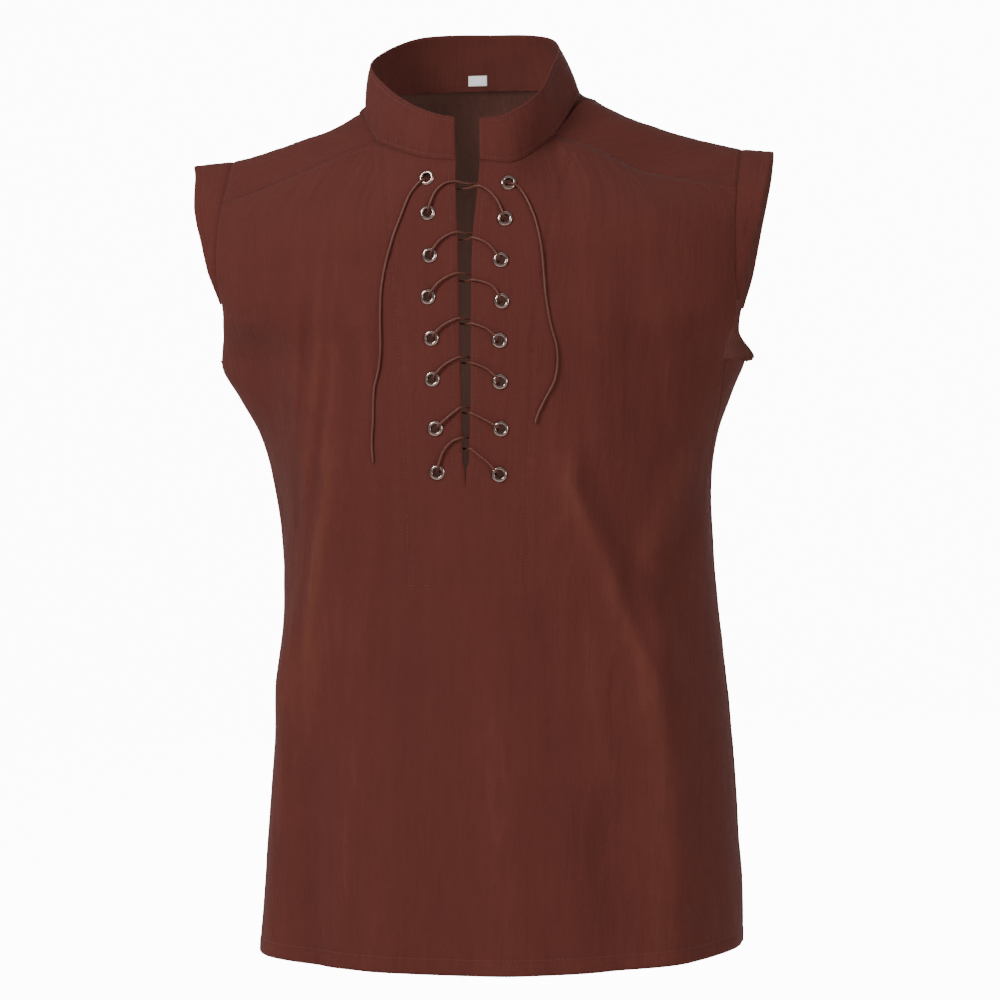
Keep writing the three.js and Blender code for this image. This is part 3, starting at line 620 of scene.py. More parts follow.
@dataclass
class ClothGrid:
    """One side of a panel as a fine grid that other pieces can be laid on."""

    u: Array
    v: Array
    points: Array
    normals: Array
    cloth: Array
    height: Array
    across: Array

    def sample(self, u: Array, v: Array) -> Laid:
        """Returns points and outward directions at places in the grid's own terms.

        Args:
            u: Shares of the way out from the centre line.
            v: Positions up the panel, in millimetres.

        Returns:
            The points and the directions.
        """
        iu = np.clip(np.searchsorted(self.u, u) - 1, 0, len(self.u) - 2)
        iv = np.clip(np.searchsorted(self.v, v) - 1, 0, len(self.v) - 2)
        fu = ((u - self.u[iu]) / (self.u[iu + 1] - self.u[iu]))[:, None]
        fv = ((v - self.v[iv]) / (self.v[iv + 1] - self.v[iv]))[:, None]

        def blend(values: Array) -> Array:
            """Mixes the four corners round each place.

            Args:
                values: One value for each place of the grid.

            Returns:
                The mixed values.
            """
            low = values[iu, iv] * (1 - fu) + values[iu + 1, iv] * fu
            high = values[iu, iv + 1] * (1 - fu) + values[iu + 1, iv + 1] * fu
            return low * (1 - fv) + high * fv

        return blend(self.cloth), unit(blend(self.normals))

    def locate(self, x: float, z: float) -> Laid:
        """Returns the point with the given x and z, and the direction out of the cloth there.

        Args:
            x: The x of the point.
            z: The z of the point.

        Returns:
            The point and the direction.
        """
        away = (self.points[..., 0] - x) ** 2 + (self.points[..., 2] - z) ** 2
        i, k = np.unravel_index(np.argmin(away), away.shape)
        i0, k0 = min(max(i, 1), len(self.u) - 2), min(max(k, 1), len(self.v) - 2)
        du = (self.points[i0 + 1, k0] - self.points[i0 - 1, k0]) / 2
        dv = (self.points[i0, k0 + 1] - self.points[i0, k0 - 1]) / 2
        start = self.points[i, k]
        matrix = np.array([[du[0], dv[0]], [du[2], dv[2]]])
        a, b = np.linalg.solve(matrix, np.array([x - start[0], z - start[2]]))
        a, b = np.clip(a, -1.5, 1.5), np.clip(b, -1.5, 1.5)
        found = start + du * a + dv * b
        return np.array([x, found[1], z]), self.normals[i, k]


def grid_faces(number: Array) -> Array:
    """Returns the four-cornered faces of a grid of point numbers."""
    corners = [number[:-1, :-1], number[1:, :-1], number[1:, 1:], number[:-1, 1:]]
    return np.stack(corners, axis=-1).reshape(-1, 4)


def build_object(name: str, points: Array, faces: Array, uv: Array, tone: Array | None = None,
                 sharp: float = 50.0) -> bpy.types.Object:
    """Makes a mesh object from points in millimetres.

    Args:
        name: Name of the object.
        points: The corner points.
        faces: Rows of three or four point numbers; a triangle repeats its last one.
        uv: One place on the flat cloth for each point, in metres.
        tone: How proud of the cloth each point stands, from 0 to 1; the cloth material paints shade where it
            is low and highlight where it is high.
        sharp: Angle in degrees above which an edge is shaded as a crease.

    Returns:
        The linked object, in metres.
    """
    mesh = bpy.data.meshes.new(name)
    rows = [row[:3] if row[3] == row[2] else row for row in faces.tolist()]
    mesh.from_pydata((points * MM).tolist(), [], rows)
    layer = mesh.uv_layers.new(name="flat")
    corners = np.empty(len(mesh.loops), dtype=np.int32)
    mesh.loops.foreach_get("vertex_index", corners)
    layer.data.foreach_set("uv", uv[corners].astype(np.float32).ravel())
    if tone is not None:
        mark = mesh.attributes.new("painted_relief_shade", "FLOAT", "POINT")
        mark.data.foreach_set("value", tone.astype(np.float32))
    mesh.polygons.foreach_set("use_smooth", [True] * len(mesh.polygons))
    mesh.set_sharp_from_angle(angle=math.radians(sharp))
    mesh.update()
    made = bpy.data.objects.new(name, mesh)
    bpy.context.scene.collection.objects.link(made)
    return made


@dataclass
class Skin:
    """An outer skin of cloth with the depth of its wall at each point."""

    outer: Array
    normals: Array
    depth: Array
    uv: Array
    tone: Array
    faces: Array

    @classmethod
    def from_grid(cls, outer: Array, normals: Array, depth: Array, uv: Array, tone: Array,
                  turned: bool) -> "Skin":
        """Makes a skin from a grid of columns by rows.

        Args:
            outer: The grid's points.
            normals: Their directions out of the cloth.
            depth: The wall's depth at each point.
            uv: Places on the flat cloth.
            tone: How proud of the cloth each point stands, which the cloth material turns into painted shade
                and painted highlight.
            turned: Whether the faces run the other way round.

        Returns:
            The skin.
        """
        columns, rows = outer.shape[:2]
        faces = grid_faces(np.arange(columns * rows).reshape(columns, rows))
        if turned:
            faces = faces[:, ::-1]
        return cls(outer.reshape(-1, 3), normals.reshape(-1, 3), depth.ravel(), uv.reshape(-1, 2),
                   tone.ravel(), faces)

    def joined(self, other: "Skin") -> "Skin":
        """Returns this skin and another as one, welded where their points meet.

        Args:
            other: The other skin.

        Returns:
            The joined skin.
        """
        outer = np.concatenate([self.outer, other.outer])
        faces = np.concatenate([self.faces, other.faces + len(self.outer)])
        _, first, number = np.unique(np.round(outer, 2), axis=0, return_index=True, return_inverse=True)
        number = number.reshape(-1)
        return Skin(
            outer[first],
            np.concatenate([self.normals, other.normals])[first],
            np.concatenate([self.depth, other.depth])[first],
            np.concatenate([self.uv, other.uv])[first],
            np.concatenate([self.tone, other.tone])[first],
            number[faces],
        )

    def pierce(self, centre: Array, radius: float) -> None:
        """Cuts a round hole and draws its edge out to the radius.

        Args:
            centre: The middle of the hole.
            radius: Its radius.
        """
        middles = self.outer[self.faces].mean(axis=1)
        gone = np.linalg.norm(middles - centre, axis=1) < radius
        edge = np.intersect1d(self.faces[gone], self.faces[~gone])
        self.faces = self.faces[~gone]
        away = self.outer[edge] - centre
        length = np.linalg.norm(away, axis=1, keepdims=True)
        near = length[:, 0] < radius * 1.7
        self.outer[edge[near]] = centre + away[near] / length[near] * radius

    def shell(self, name: str) -> bpy.types.Object:
        """Closes the skin into a thin wall with rounded rims and returns it as an object.

        Args:
            name: Name of the object.

        Returns:
            The object, with the inside of the wall in its second material.
        """
        count = len(self.outer)
        inner = self.outer - self.normals * self.depth[:, None]
        starts, ends = self.faces, np.roll(self.faces, -1, axis=1)
        pairs = np.stack([starts.ravel(), ends.ravel()], axis=1)
        codes = pairs[:, 0].astype(np.int64) * count + pairs[:, 1]
        back_codes = pairs[:, 1].astype(np.int64) * count + pairs[:, 0]
        lone = ~np.isin(codes, back_codes) & (pairs[:, 0] != pairs[:, 1])
        rim = pairs[lone]
        points = [self.outer, inner]
        # The inside of the wall gets a little more painted shade than the outside.
        uv, tone = [self.uv, self.uv], [self.tone, self.tone * 0.9]
        faces = [self.faces, self.faces[:, ::-1] + count]
        if len(rim):
            along = unit(self.outer[rim[:, 1]] - self.outer[rim[:, 0]])
            out = np.zeros_like(self.outer)
            side = np.cross(along, self.normals[rim[:, 0]])
            np.add.at(out, rim[:, 0], side)
            np.add.at(out, rim[:, 1], side)
            used = np.unique(rim)
            slot = np.full(count, -1)
            slot[used] = np.arange(len(used)) + 2 * count
            bulge = unit(out[used]) * (self.depth[used] * RIM_BULGE)[:, None]
            points.append((self.outer[used] + inner[used]) / 2 + bulge)
            uv.append(self.uv[used])
            tone.append(self.tone[used])
            a, b = rim[:, 0], rim[:, 1]
            faces.append(np.stack([b, a, slot[a], slot[b]], axis=1))
            faces.append(np.stack([slot[b], slot[a], a + count, b + count], axis=1))
        made = build_object(name, np.concatenate(points), np.concatenate(faces), np.concatenate(uv),
                            np.concatenate(tone), CLOTH_SHARP)
        looks = np.zeros(len(made.data.polygons), dtype=np.int32)
        looks[len(self.faces):2 * len(self.faces)] = 1
        made.data.polygons.foreach_set("material_index", looks)
        return made


@dataclass(frozen=True)
class Crinkle:
    """The standing wrinkles of the washed cotton, as heights in millimetres."""

    seed: int
    broad: float = 0.55
    broad_pitch: float = 17.0
    narrow: float = 0.38
    narrow_pitch: float = 8.5
    cross: float = 0.14

    def height(self, across: Array, up: Array) -> Array:
        """Returns the height of the wrinkles at places on the flat cloth, in millimetres.

        Args:
            across: Places across the flat cloth.
            up: Places up it.

        Returns:
            The height at each place.
        """
        noise = Noise(self.seed)
        warp = noise.at(across / 46, up / 70) * 9 + noise.at(across / 15 + 50, up / 30) * 2.2
        line = across + warp + 400
        wide = noise.at(line / self.broad_pitch, up / 120 + 5)
        slim = 1 - 2 * np.abs(noise.at(line / self.narrow_pitch + 31, up / 46 + 7))
        weft = noise.at(across / 18 + 90, up / 13 + 3)
        strong = 0.55 + 0.45 * noise.at(across / 60 + 11, up / 95 + 17)
        return strong * (self.broad * wide + self.narrow * slim) + self.cross * weft


@dataclass(frozen=True)
class SeamLine:
    """A row of sewing drawn on a panel as x and z in millimetres."""

    points: tuple[tuple[float, float], ...]
    dip: float = 0.45
    reach: float = 2.0
    welt: float = 0.2
    welt_at: float = 4.0
    pucker: float = 0.18
    pucker_pitch: float = 9.5

    def relief(self, x: Array, z: Array) -> Array:
        """Returns the dip and the small puckers beside the sewing, as heights.

        Args:
            x: The x of each place.
            z: The z of each place.

        Returns:
            The height at each place.
        """
        line = np.array(self.points)
        best = np.full(x.shape, 1e9)
        reach = np.zeros(x.shape)
        run = 0.0
        for (x1, z1), (x2, z2) in zip(line[:-1], line[1:]):
            dx, dz = x2 - x1, z2 - z1
            length = math.hypot(dx, dz)
            t = np.clip(((x - x1) * dx + (z - z1) * dz) / length ** 2, 0, 1)
            away = np.hypot(x - x1 - dx * t, z - z1 - dz * t)
            nearer = away < best
            best = np.where(nearer, away, best)
            reach = np.where(nearer, run + t * length, reach)
            run += length
        wave = np.sin(reach * 2 * math.pi / self.pucker_pitch + 1.7 * np.sin(reach / 17))
        return (-self.dip * ridge(best, self.reach)
                + self.welt * ridge(best - self.welt_at, 2.6)
                + self.pucker * wave * ridge(best, 7))


def reach_along(points: Array) -> Array:
    """Returns the distance from the start of a line to each of its points."""
    return np.concatenate([[0], np.cumsum(np.linalg.norm(np.diff(points, axis=0), axis=1))])


def polyline_places(points: Array, normals: Array, pitch: float) -> tuple[Array, Array, Array]:
    """Spaces places evenly along a line on the cloth.

    Args:
        points: The line.
        normals: The directions out of the cloth along it.
        pitch: The distance between places.

    Returns:
        The places, the directions along the line and those out of the cloth.
    """
    reach = reach_along(points)
    count = max(2, int(reach[-1] / pitch))
    at = (np.arange(count) + 0.5) * reach[-1] / count
    place = np.stack([np.interp(at, reach, points[:, i]) for i in range(3)], axis=1)
    ahead = np.stack([np.interp(at + 0.6, reach, points[:, i]) for i in range(3)], axis=1)
    behind = np.stack([np.interp(at - 0.6, reach, points[:, i]) for i in range(3)], axis=1)
    out = unit(np.stack([np.interp(at, reach, normals[:, i]) for i in range(3)], axis=1))
    return place, unit(ahead - behind), out


@dataclass(frozen=True)
class Stitching:
    """Rows of lockstitch, as many short pulled-down threads."""

    pitch: float = 3.1
    length: float = 2.3
    radius: float = 0.19
    sunk: float = 0.02
    sides: int = 6

    def build(self, name: str, rows: list[Laid]) -> bpy.types.Object:
        """Makes one object of all the stitches along some lines.

        Args:
            name: Name of the object.
            rows: For each row, its line and the directions out of the cloth.

        Returns:
            The object.
        """
        laid = [polyline_places(points, normals, self.pitch) for points, normals in rows]
        place = np.concatenate([row[0] for row in laid])
        along = np.concatenate([row[1] for row in laid])
        out = np.concatenate([row[2] for row in laid])
        across = unit(np.cross(along, out))
        reach = np.array([-1.0, -0.82, 0.0, 0.82, 1.0]) * self.length / 2
        girth = np.array([0.2, 0.75, 1.0, 0.75, 0.2]) * self.radius
        drop = np.array([-0.3, -0.1, 0.0, -0.1, -0.3])
        turn = np.arange(self.sides) * 2 * math.pi / self.sides
        points = (place[:, None, None] + along[:, None, None] * reach[None, :, None, None]
                  + across[:, None, None] * (girth[:, None] * np.cos(turn))[None, :, :, None]
                  + out[:, None, None] * (girth[:, None] * np.sin(turn) + drop[:, None]
                                          - self.sunk)[None, :, :, None])
        rings, sides = len(reach), self.sides
        number = np.arange(rings * sides).reshape(rings, sides)
        turned = np.roll(number, -1, axis=1)
        faces = np.stack([number[:-1], number[1:], turned[1:], turned[:-1]], axis=-1).reshape(-1, 4)
        ends = np.array([[0, 1, 2, 3], [0, 3, 4, 5]])
        faces = np.concatenate([faces, ends, ends[:, ::-1] + (rings - 1) * sides])
        faces = (faces[None] + (np.arange(len(place)) * rings * sides)[:, None, None]).reshape(-1, 4)
        flat = np.zeros((len(place), rings, sides, 2))
        flat[..., 0] = (reach * MM)[None, :, None]
        flat[..., 1] = (turn * self.radius * MM)[None, None, :]
        return build_object(name, points.reshape(-1, 3), faces, flat.reshape(-1, 2))


def rows_between(*marks: tuple[float, int]) -> Array:
    """Returns rising values through some marks, each with its count of steps from the one before.

    Args:
        *marks: Each mark with its count of steps.

    Returns:
        The values.
    """
    parts = [np.array([marks[0][0]], float)]
    for (start, _), (end, count) in zip(marks[:-1], marks[1:]):
        parts.append(np.linspace(start, end, count + 1)[1:])
    return np.concatenate(parts)


@dataclass
class ShoulderEdge:
    """The seam on top of each shoulder, where the two panels share one direction out of the cloth."""

    front: PanelSurface
    back: PanelSurface

    def normal(self, side: Side, share: Array) -> Array:
        """Returns the shared direction at shares of the seam, from the neck outward.

        Args:
            side: The side of the garment.
            share: Shares of the seam, from the neck outward.

        Returns:
            One direction for each place.
        """
        both = [panel.normal(side, panel.neck_share + (1 - panel.neck_share) * share, np.array([panel.top]))
                for panel in (self.front, self.back)]
        return unit(both[0] + both[1])[:, 0]


@dataclass
class BodyPanel:
    """The front or the back of the body: a thin crinkled shell on the solid's form."""

    surface: PanelSurface
    edge: ShoulderEdge
    crinkle: Crinkle
    columns_neck: int
    columns_out: int
    rows: Array
    creases: list[Fold] = field(default_factory=list)
    seams: tuple[SeamLine, ...] = ()
    depth: float = CLOTH_THICKNESS
    hem_turn: float = 13.0
    hem_depth: float = 0.9
    facing_depth: float = 0.7
    hem_rise: float = 0.35
    hem_dip: float = 0.4
    hem_pucker: float = 0.22
    armhole_dip: float = 0.5
    shoulder_dip: float = 0.6
    gather: float = 0.34
    gather_pitch: float = 11.0
    sides: dict[Side, ClothGrid] = field(default_factory=dict)

    def _flat(self, points: Array, side: Side) -> Array:
        """Returns for each point its place across the flat cloth, in millimetres.

        Args:
            points: The grid of one side.
            side: The side of the garment.

        Returns:
            The places across.
        """
        steps = np.linalg.norm(np.diff(points, axis=0), axis=2)
        across = np.concatenate([np.zeros((1, points.shape[1])), np.cumsum(steps, axis=0)])
        return across * side.sign

    def _gathers(self, u: Array, v: Array, across: Array) -> Array:
        """Returns the small pleats that fall from the front shoulder seam beside the neck.

        Args:
            u: Shares of the way out from the centre line.
            v: Positions up the panel, in millimetres.
            across: Places across the flat cloth.

        Returns:
            The height of the pleats.
        """
        share = self.surface.neck_share
        zone = smooth_step(u, share - 0.06, share + 0.02) * (1 - smooth_step(u, share + 0.22, share + 0.42))
        fall = np.exp(-np.maximum(0, self.surface.top - v) / 42) * smooth_step(self.surface.top - v, 0, 6)
        wave = np.sin(across * 2 * math.pi / self.gather_pitch + 2.6 * np.sin(across / 13))
        return self.gather * wave * zone[:, None] * fall[None, :]

    def _facing(self, points: Array) -> Array:
        """Returns 1 on the doubled cloth beside the slit and 0 elsewhere.

        Args:
            points: The grid of one side.

        Returns:
            The share of doubled cloth at each place.
        """
        if self.surface.face is Face.BACK:
            return np.zeros(points.shape[:2])
        inside = smooth_step(64 - np.abs(points[..., 0]), 0, 8)
        return inside * smooth_step(points[..., 2], -404, -394)

    def lay(self) -> None:
        """Works out the fine grid of each side."""
        share, top = self.surface.neck_share, self.surface.top
        u = rows_between((0, 0), (share, self.columns_neck), (1, self.columns_out))
        v = self.rows
        for side in Side:
            smooth, normals = self.surface.grid(side, u, v)
            out = np.clip((u - share) / (1 - share), 0, 1)
            near = smooth_step(v, top - 9, top)[None, :] * smooth_step(u, share - 0.02, share)[:, None]
            shared = self.edge.normal(side, out)[:, None]
            normals = unit(normals * (1 - near[..., None]) + shared * near[..., None])
            across = self._flat(smooth, side)
            up = np.broadcast_to(v, across.shape)
            free = smooth_step(1 - u, 0, 0.035)[:, None] * smooth_step(top - v, 0, 7)[None, :]
            stiff = 1 - 0.5 * self._facing(smooth)
            height = self.crinkle.height(across, up) * free * stiff
            height += fold_height(self.creases, smooth[..., 0], smooth[..., 2]) * free * stiff
            if self.surface.face is Face.FRONT:
                height += self._gathers(u, v, across)
                beside = smooth_step(0.03 - u, 0, 0.03)[:, None]
                open_edge = smooth_step(v, SLIT_AT, SLIT_AT + 13)[None, :] * beside
                height *= 1 - 0.6 * open_edge
            for seam in self.seams:
                height += seam.relief(smooth[..., 0], smooth[..., 2])
            height += self._hem(up, across)
            height -= self.armhole_dip * ridge((1 - u) * 250, 2.4)[:, None]
            height -= self.shoulder_dip * ridge(top - v, 2.6)[None, :]
            cloth = smooth + normals * height[..., None]
            self.sides[side] = ClothGrid(u, v, smooth, normals, cloth, height, across)

    def _hem(self, up: Array, across: Array) -> Array:
        """Returns the height of the turned hem and of the pucker of its stitching.

        Args:
            up: Places up the flat cloth.
            across: Places across it.

        Returns:
            The height at each place.
        """
        fold = self.hem_rise * (1 - smooth_step(up, self.hem_turn - 1.5, self.hem_turn + 1))
        line = -self.hem_dip * ridge(up - self.hem_turn + 1, 1.8)
        wave = np.sin(across * 2 * math.pi / 8.3 + 2 * np.sin(across / 13))
        return fold + line + self.hem_pucker * wave * ridge(up - self.hem_turn + 1, 7)

    def _depths(self, grid: ClothGrid) -> Array:
        """Returns the depth of the wall over the grid, doubled at the hem and on the facing.

        Args:
            grid: The grid of one side.

        Returns:
            The depth at each place.
        """
        turned = 1 - smooth_step(grid.v, self.hem_turn, self.hem_turn + 1.5)
        doubled = self.facing_depth * self._facing(grid.points)
        return self.depth + np.maximum(self.hem_depth * turned[None, :], doubled)

    def skin(self) -> Skin:
        """Returns both sides as one welded skin.

        Returns:
            The skin.
        """
        halves = []
        for side in Side:
            grid = self.sides[side]
            up = np.broadcast_to(grid.v, grid.across.shape)
            uv = np.stack([grid.across, up], axis=-1) * MM
            # Painted shade in the cloth's hollows and painted highlight on its rises and on the crests of the
            # large folds.
            fold_lift = fold_height(self.surface.folds, grid.points[..., 0], grid.points[..., 2])
            tone = np.clip(0.5 + CREASE_SHADE_PAINT * grid.height + FOLD_SHADE_PAINT * fold_lift, 0, 1)
            turned = (side is Side.LEFT) == (self.surface.face is Face.FRONT)
            halves.append(Skin.from_grid(grid.cloth, grid.normals, self._depths(grid), uv, tone, turned))
        return halves[0].joined(halves[1])

    def grid_at(self, x: float, z: float) -> ClothGrid:
        """Returns the grid of the side that a place belongs to."""
        return self.sides[Side.LEFT if x < float(slit_centre(z)) else Side.RIGHT]

    def place(self, x: float, z: float) -> Laid:
        """Returns the point of the cloth at x and z, and the direction out of it."""
        return self.grid_at(x, z).locate(x, z)

    def row_at(self, up: float) -> list[Laid]:
        """Returns the lines of both sides at one height up the cloth.

        Args:
            up: The height up the cloth, in millimetres.

        Returns:
            For each side, its line and the directions out of the cloth.
        """
        lines = []
        for side in Side:
            grid = self.sides[side]
            lines.append(grid.sample(grid.u, np.full(len(grid.u), up)))
        return lines

    def column_at(self, side: Side, u: float, low: float, high: float) -> Laid:
        """Returns the line of one side at one share across, between two heights.

        Args:
            side: The side of the garment.
            u: The share of the way out from the centre line.
            low: The lower height.
            high: The upper height.

        Returns:
            The line and the directions out of the cloth.
        """
        grid = self.sides[side]
        v = grid.v[(grid.v >= low) & (grid.v <= high)]
        return grid.sample(np.full(len(v), u), v)

    def drawn(self, line: tuple[tuple[float, float], ...]) -> Laid:
        """Returns a line given as x and z laid on the crinkled cloth.

        Args:
            line: The corners of the line.

        Returns:
            The line and the directions out of the cloth.
        """
        points = np.array(line, float)
        reach = reach_along(points)
        at = np.linspace(0, reach[-1], max(2, int(reach[-1] / 3)))
        laid, out = [], []
        for x, z in zip(np.interp(at, reach, points[:, 0]), np.interp(at, reach, points[:, 1])):
            grid = self.grid_at(x, z)
            away = (grid.cloth[..., 0] - x) ** 2 + (grid.cloth[..., 2] - z) ** 2
            i, k = np.unravel_index(np.argmin(away), away.shape)
            laid.append(np.array([x, grid.cloth[i, k, 1], z]))
            out.append(grid.normals[i, k])
        return np.array(laid), np.array(out)


@dataclass
class CollarBand:
    """The standing collar, open at the front."""

    crinkle: Crinkle
    columns: int = 92
    rows: int = 18
    depth: float = 1.7
    bow: float = 1.2
    tall: float = 36.0
    stitch_lines: tuple[float, float] = (0.09, 0.91)
    stitch_dip: float = 0.32
    pucker: float = 0.14
    sides: dict[Side, ClothGrid] = field(default_factory=dict)

    def _plain(self, side: Side, share: Array, height: Array) -> Array:
        """Returns the straight band between its two edges.

        Args:
            side: The side of the garment.
            share: Shares of the way round from the front.
            height: Shares of the way up.

        Returns:
            The points.
        """
        base = open_slit(curve_at(NECK_BASE[side], share), side)[:, None]
        top = open_slit(curve_at(COLLAR_TOP[side], share), side)[:, None]
        return base + (top - base) * height[None, :, None]

    def _side_normal(self, side: Side, share: Array, height: Array) -> Array:
        """Returns the directions out of the band as one side alone gives them.

        Args:
            side: The side of the garment.
            share: Shares of the way round from the front.
            height: Shares of the way up.

        Returns:
            One direction for each place.
        """
        s = np.clip(share, 0.004, 0.996)
        across = self._plain(side, s + 0.004, height) - self._plain(side, s - 0.004, height)
        ends = self._plain(side, s, np.array([0.0, 1.0]))
        up = (ends[:, 1] - ends[:, 0])[:, None]
        return unit(np.cross(across, np.broadcast_to(up, across.shape)) * side.sign)

    def normal(self, side: Side, share: Array, height: Array) -> Array:
        """Returns the directions out of the band, the same for both sides at the centre back.

        Args:
            side: The side of the garment.
            share: Shares of the way round from the front.
            height: Shares of the way up.

        Returns:
            One direction for each place.
        """
        normals = self._side_normal(side, share, height)
        back = share >= 1
        if back.any():
            normals[back] = unit(normals[back] + self._side_normal(side.other, share[back], height))
        return normals

    def lay(self) -> None:
        """Works out the fine grid of each side."""
        share = np.linspace(0, 1, self.columns + 1)
        height = np.linspace(0, 1, self.rows + 1)
        for side in Side:
            normals = self.normal(side, share, height)
            smooth = self._plain(side, share, height) + normals * (
                self.bow * np.sin(math.pi * height))[None, :, None]
            reach = reach_along(smooth[:, self.rows // 2])
            across = ((reach - reach[-1]) * side.sign)[:, None] * np.ones(len(height))
            up = np.broadcast_to(height * self.tall, across.shape)
            ends = smooth_step(height, 0, 0.12) * smooth_step(1 - height, 0, 0.12)
            relief = 0.6 * self.crinkle.height(across + 300, up) * ends[None, :]
            for line in self.stitch_lines:
                relief -= self.stitch_dip * ridge((height - line) * self.tall, 1.6)[None, :]
                wave = np.sin(across * 2 * math.pi / 8.1 + line * 9 + 1.5 * np.sin(across / 12))
                relief += self.pucker * wave * ridge((height - line) * self.tall, 5)[None, :]
            cloth = smooth + normals * relief[..., None]
            self.sides[side] = ClothGrid(share, height, smooth, normals, cloth, relief, across)

    def build(self) -> bpy.types.Object:
        """Returns the band as an object.

        Returns:
            The object.
        """
        halves = []
        for side in Side:
            grid = self.sides[side]
            up = np.broadcast_to(grid.v * self.tall, grid.across.shape)
            uv = np.stack([grid.across + 700, up], axis=-1) * MM
            # Painted shade and painted highlight from the band's relief.
            tone = np.clip(0.5 + RELIEF_SHADE_PAINT * grid.height, 0, 1)
            depth = np.full(grid.across.shape, self.depth)
            halves.append(Skin.from_grid(grid.cloth, grid.normals, depth, uv, tone, side is Side.LEFT))
        return halves[0].joined(halves[1]).shell("collar_band")

    def stitch_rows(self) -> list[Laid]:
        """Returns the lines of the rows of stitches along both edges.

        Returns:
            For each row, its line and the directions out of the cloth.
        """
        rows = []
        for side in Side:
            grid = self.sides[side]
            share = np.linspace(0.004, 0.999, 220)
            rows += [grid.sample(share, np.full(len(share), line)) for line in self.stitch_lines]
        return rows

    def tab(self) -> bpy.types.Object:
        """Returns the small bare tab of tape inside the back of the collar.

        Returns:
            The object.
        """
        share, height = np.linspace(0.934, 0.982, 25), np.linspace(0.1, 0.28, 13)
        normals = self.normal(Side.LEFT, share, height)
        outer = self._plain(Side.LEFT, share, height) + normals * (
            self.bow * np.sin(math.pi * height) - self.depth - 0.35)[None, :, None]
        ripple = 0.08 * np.sin(np.linspace(0, 7, 25))[:, None] * np.ones(13)
        outer = outer + normals * ripple[..., None]
        uv = np.stack(np.meshgrid(np.linspace(0, 15, 25), np.linspace(0, 8.5, 13), indexing="ij"), -1)
        tone = np.full(ripple.shape, 0.5)
        depth = np.full(ripple.shape, 0.45)
        return Skin.from_grid(outer, normals, depth, uv * MM, tone, True).shell("size_tab")


@dataclass
class ShoulderCap:
    """The crescent of cloth that stands out past one armhole seam."""

    side: Side
    front: BodyPanel
    back: BodyPanel
    crinkle: Crinkle
    rows: int = 12
    depth: float = 1.1
    hem: float = 7.0

    def _seam(self) -> Laid:
        """Returns the armhole seam from its low front end to its low back end, with directions.

        Returns:
            The line and the directions out of the cloth.
        """
        halves = []
        for panel in (self.front, self.back):
            grid = panel.sides[self.side]
            points, normals = grid.points[-1], grid.normals[-1]
            keep = (grid.v > ARMHOLE_FROM) & (points[:, 2] > CAP_LOWEST)
            halves.append((points[keep], normals[keep]))
        points = np.concatenate([halves[0][0], halves[1][0][::-1][1:]])
        normals = np.concatenate([halves[0][1], halves[1][1][::-1][1:]])
        return points, normals

    def build(self) -> tuple[bpy.types.Object, Laid]:
        """Returns the cap as an object, and the line of its hem stitches.

        Returns:
            The object, then the line with the directions out of the cloth.
        """
        points, normals = self._seam()
        reach = reach_along(points)
        share = reach / reach[-1]
        outward = np.array([self.side.sign, 0.0, 0.0])
        crown = np.abs(np.sin(math.pi * share))
        slope = 0.75 + (CAP_SLOPE - 0.75) * crown ** 3
        lie = unit(outward - normals * ((normals @ outward) * slope)[:, None])
        taper = np.where(share < 0.5, *CAP_TAPERS[self.side])
        width = 2 + CAP_WIDTHS[self.side] * crown ** taper
        width += CAP_PEAKS[self.side] * ridge(share - 0.5, 0.05)
        w = np.linspace(0, 1, self.rows + 1)
        outer = points[:, None] + lie[:, None] * (w[None, :] * width[:, None])[..., None]
        across = w[None, :] * width[:, None]
        up = np.broadcast_to(reach[:, None], across.shape)
        free = smooth_step(across, 0, 5) * smooth_step(width[:, None] - across, 0, 3)
        height = 0.7 * self.crinkle.height(across, up) * free
        height -= 0.5 * ridge(across, 2.2)
        edge = width[:, None] - across
        height -= 0.3 * ridge(edge - self.hem, 1.6) * smooth_step(width, 9, 16)[:, None]
        spread = np.broadcast_to(normals[:, None], outer.shape)
        outer = outer + spread * height[..., None]
        uv = np.stack([across + 900, up], axis=-1) * MM
        # Painted shade and painted highlight from the cap's relief.
        tone = np.clip(0.5 + RELIEF_SHADE_PAINT * height, 0, 1)
        depth = self.depth + 0.7 * (1 - smooth_step(edge, self.hem - 1, self.hem + 1))
        turned = self.side is Side.RIGHT
        made = Skin.from_grid(outer, spread.copy(), depth, uv, tone, turned).shell(
            f"shoulder_cap_{self.side.value}")
        wide = width > 12
        share_in = np.clip(1 - self.hem / np.maximum(width, self.hem + 1), 0, 1) * self.rows
        low = np.clip(share_in.astype(int), 0, self.rows - 1)
        part = (share_in - low)[:, None]
        index = np.arange(len(points))
        line = outer[index, low] * (1 - part) + outer[index, low + 1] * part
        return made, (line[wide], normals[wide])


def smooth_path(points: Array, spacing: float) -> Array:
    """Returns a smooth curve through some points, sampled at about the given spacing.

    Args:
        points: The points, in order.
        spacing: The spacing, in millimetres.

    Returns:
        The points of the curve.
    """
    steps = np.linalg.norm(np.diff(points, axis=0), axis=1)
    knots = np.concatenate([[0], np.cumsum(np.maximum(steps, 1e-6))])
    at = np.linspace(0, knots[-1], max(3, int(knots[-1] / spacing) + 1))
    return spline_grid(knots, points[:, None, :], at)[0]


def path_length(points: Array) -> float:
    """Returns the length of a line through points."""
    return float(np.linalg.norm(np.diff(points, axis=0), axis=1).sum())


def toward(start: Array, end: Array, distance: float) -> Array:
    """Returns the place at a distance from one place in the direction of another."""
    away = np.asarray(end, float) - np.asarray(start, float)
    return np.asarray(start, float) + away * distance / np.linalg.norm(away)


